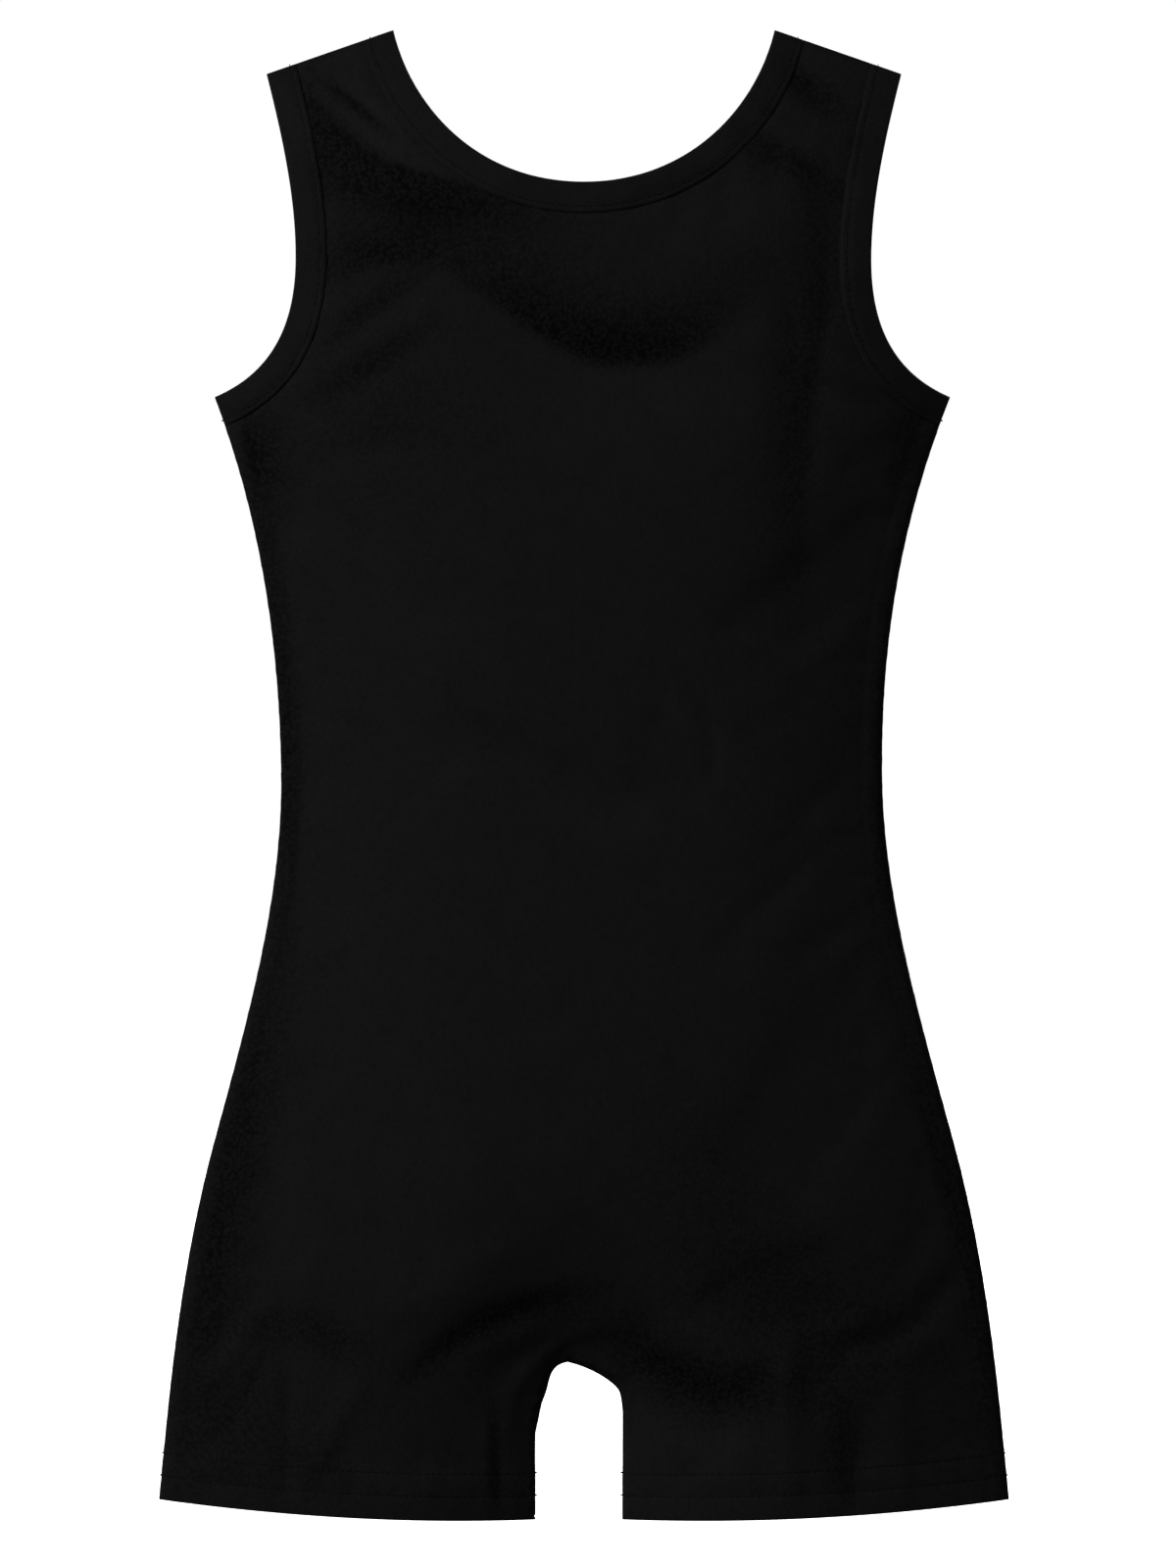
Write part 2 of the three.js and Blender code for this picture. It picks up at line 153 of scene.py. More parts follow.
def stand_out(x, z):
    """How far the cloth stands out from the plane of the seams."""
    across = np.abs(x) / half_width(-z)
    below_shoulder = -z - (np.abs(x) - NECK_WIDTH / 2) * SHOULDER_PITCH
    above_arch = np.maximum(0, CROTCH_DROP + CROTCH_ARCH + z) * (LEG_GAP / 2 / CROTCH_ARCH)
    from_inseam = np.hypot(x, above_arch) - LEG_GAP / 2
    seams = away_from(below_shoulder, SHOULDER_RUN) * away_from(from_inseam, CROTCH_RUN)
    return fill(-z) * (1 - across**3) * seams


print(f"the chest stands out {stand_out(np.array(0.0), np.array(-0.12)) / MM:.1f} mm each way")

# %% [markdown]
# The pattern's edges are drawn once as lines of points, with the direction that leads from each
# point into the cloth. Everything that follows an edge, such as a binding, a hem, a ditch or a row
# of stitches, is then a distance in from one of these lines, so all of them stay parallel.

# %% The pattern's edges
def evenly(points, spacing):
    """The same line with its points about `spacing` apart."""
    points = np.asarray(points, float)
    along = np.r_[0, np.cumsum(np.hypot(*np.diff(points, axis=0).T))]
    places = np.linspace(0, along[-1], max(2, round(along[-1] / spacing) + 1))
    return np.c_[np.interp(places, along, points[:, 0]), np.interp(places, along, points[:, 1])]


def bezier(a, b, c, d, count=60):
    t = np.linspace(0, 1, count)[:, None]
    a, b, c, d = (np.array(p, float) for p in (a, b, c, d))
    return (1 - t) ** 3 * a + 3 * (1 - t) ** 2 * t * b + 3 * (1 - t) * t * t * c + t**3 * d


def inset(points, distance, turn):
    """A line `distance` into the cloth, which lies to the left of the way along if turn is +1."""
    along = np.gradient(points, axis=0)
    along /= np.linalg.norm(along, axis=1)[:, None]
    return points + distance * turn * np.c_[-along[:, 1], along[:, 0]]


def mirrored(points):
    return (points * [-1, 1])[::-1]


def extended(points, length):
    """The line with both ends carried on straight."""
    start = points[0] + (points[0] - points[1]) / np.linalg.norm(points[0] - points[1]) * length
    end = points[-1] + (points[-1] - points[-2]) / np.linalg.norm(points[-1] - points[-2]) * length
    return np.vstack([start, points, end])


def neck_line(side):
    """From the left shoulder round to the right one."""
    half, drop = NECK_WIDTH / 2, NECK_DROP[side]
    left = bezier((half, 0), (0.91 * half, -0.49 * drop), (0.57 * half, -drop), (0, -drop))
    return evenly(np.vstack([left, mirrored(left)[1:]]), MM)


def armhole_line():
    """From the outer end of the left shoulder down to the underarm."""
    top = np.array([SHOULDER_WIDTH / 2, -SHOULDER_DROP])
    narrow = np.array([ACROSS_CHEST / 2, -ACROSS_CHEST_DROP])
    underarm = np.array([CHEST_WIDTH / 2, -UNDERARM_DROP])
    upper, lower = narrow - top, underarm - narrow
    first = bezier(top, top + upper * [0.52, 0.33], narrow - [0, 0.33 * upper[1]], narrow)
    second = bezier(narrow, narrow + [0, 0.46 * lower[1]], underarm - lower * [0.74, 0.18], underarm)
    return evenly(np.vstack([first, second[1:]]), MM)


def hem_line():
    """From the inner corner of the left leg hem to its outer corner."""
    inner = np.array([LEG_GAP / 2, -BODY_LENGTH + 0.5 * MM])
    middle = np.array([(LEG_GAP + LEG_SPAN) / 4, -BODY_LENGTH - 2 * MM])
    outer = np.array([LEG_SPAN / 2, -HEM_SIDE_DROP])
    t = np.linspace(0, 1, 60)[:, None]
    return evenly((1 - t) ** 2 * inner + 2 * (1 - t) * t * middle + t * t * outer, MM)


def side_line():
    """The left side seam, from the underarm down to the hem."""
    drop = np.linspace(UNDERARM_DROP, HEM_SIDE_DROP, 120)
    return evenly(np.c_[half_width(drop), -drop], MM)


def inseam_line():
    """Up the left leg, over the crotch and down the right leg."""
    angle = np.linspace(0, math.pi / 2, 30)
    arch = np.c_[LEG_GAP / 2 * np.cos(angle), -CROTCH_DROP - CROTCH_ARCH * (1 - np.sin(angle))]
    left = np.vstack([[LEG_GAP / 2, -BODY_LENGTH + 0.5 * MM], arch])
    return evenly(np.vstack([left, mirrored(left)[1:]]), MM)


def shoulder_line():
    """The left shoulder seam, from the neck outwards."""
    ends = np.array([NECK_WIDTH, SHOULDER_WIDTH]) / 2
    return evenly(np.c_[ends, (NECK_WIDTH / 2 - ends) * SHOULDER_PITCH], MM)


lengths = {
    "front neck": neck_line("front"), "back neck": neck_line("back"), "armhole": armhole_line(),
    "hem": hem_line(), "side": side_line(), "inseam": inseam_line(), "shoulder": shoulder_line(),
}
for name, line in lengths.items():
    print(f"{name} edge {np.hypot(*np.diff(line, axis=0).T).sum() / MM:.0f} mm")

# %% [markdown]
# Stretch knit laid loosely over a form never lies smooth: it keeps soft folds that run from where it
# is held towards where it hangs free. Each fold here is a short smooth path with a depth and a
# width. Its hollow is on the path and its roll of cloth beside it, so that one flank catches the
# light and the other loses it. Paths are given as (across, drop) in millimetres from the neck point.

# %% Folds, listed one by one
FOLDS = {"front": [], "back": []}


def smooth_path(points, count=40):
    """A Catmull-Rom curve through a few points."""
    p = np.array(points, float) * [MM, -MM]
    p = np.vstack([2 * p[0] - p[1], p, 2 * p[-1] - p[-2]])
    spans = len(p) - 3
    place = np.linspace(0, spans - 1e-9, count)
    i = place.astype(int)
    t = (place - i)[:, None]
    a, b, c, d = p[i], p[i + 1], p[i + 2], p[i + 3]
    curve = 2 * b + (c - a) * t + (2 * a - 5 * b + 4 * c - d) * t**2
    return (curve + (3 * b - a - 3 * c + d) * t**3) / 2


def fold(side, path, depth, left, right, roll=0.0):
    """A hollow along a path, `left` and `right` wide, or a ridge if its depth is negative. A roll of
    cloth, as a share of the depth, lies to the path's right, or to its left if it is negative."""
    FOLDS[side].append((smooth_path(path), depth * MM, left * MM, right * MM, roll))


def beside_path(path, x, z, reach):
    """Which points are near a path, how far to its left they lie, and the path's strength there."""
    low, high = path.min(axis=0) - 3.6 * reach, path.max(axis=0) + 3.6 * reach
    near = (x > low[0]) & (x < high[0]) & (z > low[1]) & (z < high[1])
    if not near.any():
        return near, np.zeros(0), np.zeros(0)
    way = np.gradient(path, axis=0)
    way /= np.linalg.norm(way, axis=1)[:, None]
    offset = np.stack([x[near], z[near]], axis=-1)[:, None] - path
    nearest = np.argmin((offset**2).sum(axis=-1), axis=1)
    closest = offset[np.arange(len(nearest)), nearest]
    across = way[nearest, 0] * closest[:, 1] - way[nearest, 1] * closest[:, 0]
    past_end = (way[nearest] * closest).sum(axis=1) / reach
    along = nearest / (len(path) - 1)
    strength = np.sin(np.pi * np.clip(0.06 + 0.88 * along, 0, 1)) ** 0.7 * np.exp(-(past_end**2))
    return near, across, strength


def folds_at(side, x, z):
    """How far all of one side's folds move the cloth outwards at each point."""
    total = np.zeros_like(x)
    for path, depth, left, right, roll in FOLDS[side]:
        near, across, strength = beside_path(path, x, z, max(left, right))
        hollow = np.exp(-((across / np.where(across > 0, left, right)) ** 2))
        beside, wide = (-1.7 * right, 1.2 * right) if roll > 0 else (1.7 * left, 1.2 * left)
        rolled = np.exp(-(((across - beside) / wide) ** 2))
        total[near] += strength * depth * (abs(roll) * rolled - hollow)
    return total


fold("front", [(-107, 18), (-93, 28), (-78, 41)], 1.3, 2.6, 2.2, 0.8)
fold("front", [(-114, 48), (-98, 66), (-73, 76), (-38, 80)], 3.6, 8, 20, -0.4)
chest_fold = [(-104, 98), (-80, 89), (-54, 93), (-33, 111), (-5, 129), (16, 133), (42, 129), (54, 118)]
fold("front", chest_fold, 4.8, 12, 26)
fold("front", [(-106, 125), (-84, 112), (-64, 101)], 1.0, 5, 7)
fold("front", [(-107, 148), (-84, 135), (-60, 121)], 1.4, 5, 9)
fold("front", [(-134, 156), (-132, 172), (-129, 192)], 1.3, 3, 4, 0.3)
fold("front", [(-120, 182), (-92, 170), (-58, 166)], 0.9, 8, 6)
fold("front", [(76, 12), (90, 24), (106, 36)], 1.4, 6, 4, 0.3)
fold("front", [(58, 40), (80, 48), (104, 62)], 1.4, 6, 5, -0.4)
fold("front", [(100, 66), (99, 100), (94, 132), (90, 172), (90, 220)], 2.0, 6, 12)
fold("front", [(78, 96), (84, 120), (80, 150)], 1.2, 5, 7)
fold("front", [(126, 150), (104, 148), (80, 138)], 1.2, 5, 6, 0.3)
fold("front", [(50, 274), (53, 288), (52, 302)], 0.9, 3, 3.5)
fold("front", [(30, 252), (34, 266), (33, 280)], 0.6, 3, 4)
fold("front", [(-118, 300), (-112, 340), (-118, 384)], 1.0, 5, 6)
fold("front", [(-66, 514), (-36, 496), (-10, 478)], -1.1, 10, 9)
fold("front", [(-68, 542), (-46, 525), (-22, 514), (4, 509)], 2.0, 6, 7)
fold("front", [(-33, 570), (-25, 545), (-8, 530), (6, 521)], -1.3, 3.5, 3.5)
fold("front", [(-33, 556), (-34, 574), (-33, 596)], 1.0, 2.4, 2.2, 0.6)
fold("front", [(12, 519), (34, 540), (60, 552), (86, 548)], 2.2, 13, 16)
fold("front", [(17, 563), (19, 571), (24, 581)], -0.8, 2.5, 2.5)
fold("front", [(-128, 512), (-140, 530), (-152, 548)], -1.4, 4, 5)
fold("front", [(-124, 530), (-136, 548), (-147, 566)], 1.3, 4, 4)
fold("front", [(-88, 542), (-99, 562), (-110, 582)], -1.4, 5, 6)
fold("front", [(-120, 508), (-119, 550), (-120, 594)], 1.0, 4, 3)
fold("front", [(84, 528), (83, 560), (84, 593)], -1.5, 5, 6)
fold("front", [(110, 550), (109, 574), (110, 595)], 1.5, 7, 6)
fold("front", [(128, 540), (127, 566), (129, 592)], -1.2, 5, 6)
fold("front", [(152, 500), (132, 520), (108, 530)], 1.0, 7, 7)
fold("back", [(-100, 52), (-84, 90), (-60, 118)], 1.8, 6, 8, 0.4)
fold("back", [(100, 60), (88, 96), (66, 128)], 1.8, 8, 6, -0.4)
fold("back", [(-90, 150), (-30, 166), (40, 158), (88, 148)], 2.0, 12, 6, 0.4)
fold("back", [(-112, 236), (-60, 250), (10, 244)], 1.4, 10, 8)
fold("back", [(0, 292), (56, 300), (108, 290)], 1.4, 10, 8)
fold("back", [(-70, 512), (-36, 480), (6, 462)], 2.0, 8, 6, 0.4)
fold("back", [(-2, 470), (40, 490), (72, 520)], 2.0, 8, 6, 0.4)
fold("back", [(104, 520), (104, 556), (108, 592)], 1.5, 6, 6, 0.4)
fold("back", [(-98, 524), (-102, 558), (-100, 592)], 1.5, 6, 6, 0.4)
print({side: len(folds) for side, folds in FOLDS.items()}, "folds laid by hand")

# %% [markdown]
# Painted shade: in the shelter of each fold, and along the sides where the cloth turns away over
# its seam, the black of the knit is painted deeper, standing in for the shade that falls there. The
# same patches make the knit's pebbly crinkle stronger in its bump. Each patch is a path too, with
# a soft reach to either side. A small reach makes a sharp border, such as the crest it starts from.

# %% Patches of painted shade and crinkle
SHADE_AND_CRINKLE_PATCHES = {"front": [], "back": []}


def shade_and_crinkle(side, path, left, right, amount):
    SHADE_AND_CRINKLE_PATCHES[side].append((smooth_path(path), left * MM, right * MM, amount))


def shade_and_crinkle_at(side, x, z):
    """How much painted shade, and crinkle in the bump, a point gets, from 0 to 1."""
    unshaded_share = np.ones_like(x)
    for path, left, right, amount in SHADE_AND_CRINKLE_PATCHES[side]:
        near, across, strength = beside_path(path, x, z, max(left, right))
        patch = np.exp(-((across / np.where(across > 0, left, right)) ** 2))
        unshaded_share[near] *= 1 - amount * strength * patch
    return 1 - unshaded_share


# Painted shade: each patch darkens the knit where a fold or a side seam lies in shade, and strengthens its
# crinkle.
shade_and_crinkle("front", [(-113, 27), (-92, 47), (-73, 57), (-46, 65), (-18, 71)], 2.5, 19, 1.0)
shade_and_crinkle("front", [(-112, 18), (-108, 50), (-107, 92)], 3, 7, 0.7)
shade_and_crinkle("front", [(-110, 26), (-99, 50), (-86, 70)], 8, 11, 0.6)
shade_and_crinkle("front", [(-114, 148), (-80, 152), (-50, 150)], 30, 30, 0.3)
shade_and_crinkle("front", [(-60, 91), (-33, 110), (-5, 128), (15, 133), (42, 129), (58, 116)], 24, 3, 1.0)
shade_and_crinkle("front", [(-104, 100), (-82, 91), (-56, 92)], 12, 5, 0.85)
shade_and_crinkle("front", [(-106, 130), (-84, 113), (-62, 97)], 7, 3, 0.6)
shade_and_crinkle("front", [(-107, 150), (-84, 136), (-62, 122)], 6, 4, 0.5)
shade_and_crinkle("front", [(-136, 152), (-132, 172), (-128, 190)], 14, 4, 0.75)
shade_and_crinkle("front", [(-103, 22), (-92, 30), (-78, 42)], 2, 2.5, 0.8)
shade_and_crinkle("front", [(68, 8), (88, 20), (108, 34)], 5, 10, 0.75)
shade_and_crinkle("front", [(58, 40), (84, 52), (108, 68)], 5, 9, 0.65)
shade_and_crinkle("front", [(99, 66), (95, 110), (88, 160), (84, 236)], 8, 14, 0.55)
shade_and_crinkle("front", [(134, 146), (132, 166), (126, 188)], 5, 8, 0.6)
shade_and_crinkle("front", [(-70, 541), (-46, 523), (-22, 512), (6, 508)], 5, 8, 0.9)
shade_and_crinkle("front", [(13, 520), (34, 538), (60, 548), (94, 545)], 12, 14, 0.9)
shade_and_crinkle("front", [(-138, 520), (-108, 522), (-82, 535)], 8, 10, 0.6)
shade_and_crinkle("front", [(-126, 534), (-136, 550), (-147, 566)], 5, 4, 0.6)
shade_and_crinkle("front", [(-34, 552), (-34, 574), (-33, 598)], 3, 2.4, 0.7)
shade_and_crinkle("front", [(58, 500), (100, 520), (144, 548)], 28, 26, 0.45)
shade_and_crinkle("front", [(36, 436), (60, 480), (84, 530)], 22, 30, 0.3)
shade_and_crinkle("front", [(-158, 556), (-124, 572), (-84, 570)], 26, 26, 0.35)
shade_and_crinkle("front", [(-134, 160), (-124, 238), (-119, 300), (-123, 367)], 7, 6, 0.85)
shade_and_crinkle("front", [(-124, 367), (-137, 434), (-150, 501), (-160, 580)], 13, 8, 0.85)
shade_and_crinkle("front", [(133, 196), (122, 260), (120, 330), (126, 390)], 4, 4, 0.7)
shade_and_crinkle("front", [(128, 396), (142, 450), (157, 510), (167, 590)], 7, 4, 0.75)
shade_and_crinkle("front", [(104, 548), (104, 572), (104, 594)], 8, 8, 0.5)
shade_and_crinkle("back", [(-92, 140), (-30, 156), (40, 148), (90, 138)], 16, 4, 0.8)
shade_and_crinkle("back", [(-102, 44), (-84, 84), (-58, 112)], 5, 12, 0.7)
shade_and_crinkle("back", [(102, 50), (86, 88), (62, 118)], 12, 5, 0.7)
shade_and_crinkle("back", [(-72, 518), (-36, 486), (0, 476)], 5, 10, 0.8)
shade_and_crinkle("back", [(4, 476), (40, 494), (72, 522)], 5, 10, 0.8)
print({side: len(patches) for side, patches in SHADE_AND_CRINKLE_PATCHES.items()}, "slack patches")

# %% [markdown]
# Between those folds, real knit buckles by itself into smaller ones. That is what the Cloth modifier
# is for: each panel becomes a regular sheet of squares, held at its seams and openings, its springs
# are made a little longer than the cloth they span, and it settles under a breath of air. What is
# kept is only how far each point moved, as a smooth field, so that the fine pieces built afterwards
# can all follow it.

# %% Let each panel settle as cloth
GRID = 5.5 * MM
GRID_LEFT, GRID_BOTTOM = -181.5 * MM, -610.5 * MM
GRID_COLUMNS, GRID_ROWS = 67, 113
SETTLING_FRAMES = 25


def inside(x, z, side):
    """How far inside the pattern a point is, roughly, and negative outside it."""
    across = np.abs(x)
    below_shoulder = -z - (across - NECK_WIDTH / 2) * SHOULDER_PITCH
    body = half_width(-z) - across

    def edge_at_drop(line):
        half = line[line[:, 0] >= -1e-9]
        order = np.argsort(-half[:, 1], kind="stable")
        return np.interp(-z, -half[order, 1], half[order, 0])

    above_neck = np.where(-z < NECK_DROP[side], across - edge_at_drop(neck_line(side)), np.inf)
    beside_arm = np.where(-z < UNDERARM_DROP, edge_at_drop(armhole_line()) - across, np.inf)
    hem_points = hem_line()
    above_hem = z - np.interp(across, hem_points[:, 0], hem_points[:, 1])
    above_arch = np.maximum(0, CROTCH_DROP + CROTCH_ARCH + z) * (LEG_GAP / 2 / CROTCH_ARCH)
    from_inseam = np.where(-z > CROTCH_DROP + CROTCH_ARCH, across, np.hypot(across, above_arch))
    parts = [below_shoulder, body, above_neck, beside_arm, above_hem, from_inseam - LEG_GAP / 2]
    return np.minimum.reduce(parts)


def squares_between(number):
    """The four-sided faces between the points of a grid, from their numbers."""
    corners = [number[:-1, :-1], number[:-1, 1:], number[1:, 1:], number[1:, :-1]]
    return np.stack(corners, axis=-1).reshape(-1, 4)


def settle(side):
    """Runs the cloth once and returns how far it moved at each crossing of the grid."""
    columns = GRID_LEFT + GRID * np.arange(GRID_COLUMNS)
    rows = GRID_BOTTOM + GRID * np.arange(GRID_ROWS)
    x, z = np.meshgrid(columns, rows)
    depth = inside(x, z, side)
    kept = depth > 0.5 * MM
    number = np.full(x.shape, -1)
    number[kept] = np.arange(kept.sum())
    out = stand_out(x, z) + folds_at(side, x, z)
    outward = -1 if side == "front" else 1
    start = np.stack([x, outward * out, z], axis=-1)[kept]
    squares = squares_between(number)
    squares = squares[(squares >= 0).all(axis=1)]
    if side == "back":
        squares = squares[:, ::-1]
    mesh = bpy.data.meshes.new("settling")
    mesh.from_pydata(start.tolist(), [], squares.tolist())
    sheet = bpy.data.objects.new("settling", mesh)
    bpy.context.collection.objects.link(sheet)

    held = sheet.vertex_groups.new(name="held")
    hold = np.clip(1 - (depth[kept] - 3 * MM) / (14 * MM), 0.03, 1)
    for index, weight in enumerate(hold):
        held.add([index], float(weight), "REPLACE")
    cloth = sheet.modifiers.new("cloth", "CLOTH")
    knit = cloth.settings
    knit.quality = 6
    knit.mass = 0.15
    knit.tension_stiffness = knit.compression_stiffness = 8
    knit.shear_stiffness = 4
    knit.bending_stiffness = 0.05
    knit.shrink_min = -0.02
    knit.effector_weights.gravity = 0.05
    knit.vertex_group_mass = "held"
    knit.pin_stiffness = 1.0
    knit.use_pressure = True
    knit.uniform_pressure_force = 0.4
    cloth.collision_settings.use_collision = False
    for frame_number in range(1, SETTLING_FRAMES + 1):
        bpy.context.scene.frame_set(frame_number)
    graph = bpy.context.evaluated_depsgraph_get()
    settled = sheet.evaluated_get(graph).to_mesh()
    end = np.array([v.co for v in settled.vertices])
    moved = np.zeros(x.shape + (3,))
    moved[kept] = end - start
    bpy.context.scene.frame_set(1)
    bpy.data.objects.remove(sheet)
    return moved


MOST_MOVED = {"front": 1.4 * MM, "back": 3.0 * MM}
moved = {side: np.zeros((GRID_ROWS, GRID_COLUMNS, 3)) for side in ("front", "back")}
for side in moved:
    travel = settle(side)
    reach = np.linalg.norm(travel, axis=-1, keepdims=True)
    most = MOST_MOVED[side]
    calm = most * np.tanh(reach / most) / np.maximum(reach, 1e-9)
    moved[side] = travel * calm
    print(f"{side} settled by up to {reach.max() / MM:.1f} mm, {reach.mean() / MM:.1f} mm on average")

# %% [markdown]
# One function now says where the cloth is. Given a side, a place on the pattern and a height above
# the cloth's inner face, it adds the form, the folds and the settling together, and lifts the
# point along the cloth's own outward direction. Panels, bindings, hems and stitches all ask the
# same function, so they can't come apart. A last gentle shift makes the garment lie slightly
# askew, as one does that has been laid down by hand.

# %% Where the cloth is
def spline_weights(t):
    """The four weights of a cubic B-spline, which smooths as it interpolates."""
    return [(1 - t) ** 3 / 6, (3 * t**3 - 6 * t**2 + 4) / 6,
            (-3 * t**3 + 3 * t**2 + 3 * t + 1) / 6, t**3 / 6]


def settled_at(side, x, z):
    """How far the settling moved the cloth at each point, read smoothly from the grid."""
    column = np.clip((x - GRID_LEFT) / GRID, 1, GRID_COLUMNS - 3.001)
    row = np.clip((z - GRID_BOTTOM) / GRID, 1, GRID_ROWS - 3.001)
    i, j = column.astype(int), row.astype(int)
    across, up = spline_weights(column - i), spline_weights(row - j)
    total = np.zeros(x.shape + (3,))
    for b in range(4):
        for a in range(4):
            total += (up[b] * across[a])[..., None] * moved[side][j + b - 1, i + a - 1]
    return total


DITCH, DITCH_WIDTH = 0.36 * MM, 1.3 * MM
ROW_DIP, ROW_WIDTH = 0.22 * MM, 0.9 * MM
HEM_ROWS = {"upper": 18.8, "lower": 9.8}
BINDING_ROW = 9.6
RELIEF = []


def relief_at(side, x, z):
    """The fine dips along bindings, stitch rows and seams, from the lists that give them."""
    total = np.zeros_like(x)
    for sides, measure in RELIEF:
        if side in sides:
            total += measure(x, z)
    return total


def calm_out(side, x, z, fine):
    shift = settled_at(side, x, z)
    outward = -1 if side == "front" else 1
    out = stand_out(x, z) + folds_at(side, x, z) + outward * shift[..., 1]
    near_seam = np.clip(stand_out(x, z) / (4 * MM), 0, 1)
    out = out * near_seam + stand_out(x, z) * (1 - near_seam)
    if fine:
        out = out + relief_at(side, x, z)
    return np.maximum(out, 0.35 * MM), shift * near_seam[..., None]


MIDDLE_DROP = BODY_LENGTH / 2
DRAWN_IN = 0.53


def patch_weight(x, drop, at_x, at_drop, wide, tall):
    return np.exp(-(((x - at_x * MM) / (wide * MM)) ** 2) - ((drop - at_drop) / (tall * MM)) ** 2)


def laid(points):
    """Cloth that is filled out is drawn in towards the middle of the body. The garment also lies
    a little askew: it sways at the waist, and its leg gap leans and comes to a point."""
    x, out, drop = points[..., 0], np.abs(points[..., 1]), -points[..., 2]
    low = np.clip((drop - 0.44) / 0.12, 0, 1)
    legs = -2.2 * MM * low * (2 - low) * np.exp(-((x / (70 * MM)) ** 2))
    sway = -1.3 * MM * np.exp(-(((drop - 0.24) / 0.11) ** 2))
    lean = -4.6 * MM * patch_weight(x, drop, 0, CROTCH_DROP, 10, 10)
    right_corner = patch_weight(x, drop, 12, CROTCH_DROP + 6 * MM, 8, 7)
    left_corner = patch_weight(x, drop, -15, CROTCH_DROP + 13 * MM, 6, 9)
    point = np.exp(-np.abs(x) / (4 * MM) - ((drop - CROTCH_DROP) / (8 * MM)) ** 2)
    result = points.copy()
    result[..., 0] += legs + sway + lean + 2.6 * MM * (right_corner + left_corner) - x * out * DRAWN_IN
    result[..., 2] += 1.0 * MM * point - 2.4 * MM * right_corner + (drop - MIDDLE_DROP) * out * DRAWN_IN
    return result


def on_cloth(side, x, z, height, fine=False):
    """The point `height` above the cloth's inner face at (x, z) on the pattern."""
    x, z = np.asarray(x, float), np.asarray(z, float)
    step = 0.4 * MM
    out, shift = calm_out(side, x, z, fine)
    slope_x = (calm_out(side, x + step, z, fine)[0] - calm_out(side, x - step, z, fine)[0]) / (2 * step)
    slope_z = (calm_out(side, x, z + step, fine)[0] - calm_out(side, x, z - step, fine)[0]) / (2 * step)
    outward = -1 if side == "front" else 1
    normal = np.stack([-slope_x, np.full_like(x, outward), -slope_z], axis=-1)
    normal /= np.linalg.norm(normal, axis=-1, keepdims=True)
    surface = np.stack([x + 0.35 * shift[..., 0], outward * out, z + 0.35 * shift[..., 2]], axis=-1)
    return laid(surface + normal * np.asarray(height)[..., None])


middle = on_cloth("front", np.array([0.0]), np.array([-0.3]), np.array([0.0]))
print("middle of the front, in mm:", np.round(middle[0] / MM, 1))

# %% [markdown]
# Shader arithmetic reads best as arithmetic. The small class below wraps a node's output, so that
# `1 - mask * 0.3` adds the Math nodes that it says. One method of the maker adds any other node:
# its settings first, then the values or links of its sockets.

# %% A way to write shader maths
class Value:
    """An output socket that can be added, multiplied and so on."""

    def __init__(self, maker, socket):
        self.maker, self.socket = maker, socket

    def math(self, operation, *others):
        return self.maker.node("ShaderNodeMath", {"operation": operation}, [self, *others])

    def __add__(self, other):
        return self.math("ADD", other)

    __radd__ = __add__

    def __mul__(self, other):
        return self.math("MULTIPLY", other)

    __rmul__ = __mul__

    def __sub__(self, other):
        return self.math("SUBTRACT", other)

    def __rsub__(self, other):
        return self.maker.node("ShaderNodeMath", {"operation": "SUBTRACT"}, [other, self])

    def __truediv__(self, other):
        return self.math("DIVIDE", other)

    def __pow__(self, other):
        return self.math("POWER", other)

    def clamped(self):
        return self.math("MINIMUM", 1.0).math("MAXIMUM", 0.0)


class Maker:
    """Builds one material's nodes."""

    def __init__(self, name):
        self.material = bpy.data.materials.new(name)
        self.material.use_nodes = True
        self.tree = self.material.node_tree
        self.tree.nodes.clear()

    def node(self, kind, settings=None, inputs=(), output=0):
        """Any node: settings, then sockets by number or name, and the output that is wanted."""
        made = self.tree.nodes.new(kind)
        for name, setting in (settings or {}).items():
            setattr(made, name, setting)
        pairs = inputs.items() if isinstance(inputs, dict) else enumerate(inputs)
        for key, value in pairs:
            if isinstance(value, Value):
                self.tree.links.new(value.socket, made.inputs[key])
            else:
                made.inputs[key].default_value = value
        return Value(self, made.outputs[output])

    def blend(self, factor, a, b):
        """A mix of two colours."""
        settings = {"data_type": "RGBA"}
        inputs = {0: factor, 6: a, 7: b}
        return self.node("ShaderNodeMix", settings, inputs, 2)

    def finish(self, shader_inputs):
        shader = self.node("ShaderNodeBsdfPrincipled", {}, shader_inputs)
        out = self.tree.nodes.new("ShaderNodeOutputMaterial")
        self.tree.links.new(shader.socket, out.inputs["Surface"])
        return self.material


print("shader maths is ready")

# %% [markdown]
# The body is a plain jersey in matte black elastane yarn: fine vertical columns of stitches, called
# wales, half a millimetre apart. From a few steps away one sees only a soft velvety black with a
# faint cloudiness, so the wales go into the bump and the clouds into roughness and colour. Each
# piece carries a map named "cloth" in metres along its own grain, so the wales turn with the cloth.

# %% The knit finishes
def cloth_place(maker):
    """The place on the cloth in millimetres: along the courses, and along the wales."""
    uv = maker.node("ShaderNodeUVMap", {"uv_map": "cloth"})
    across = maker.node("ShaderNodeSeparateXYZ", {}, [uv], 0) * 1000.0
    along = maker.node("ShaderNodeSeparateXYZ", {}, [uv], 1) * 1000.0
    return uv, across, along


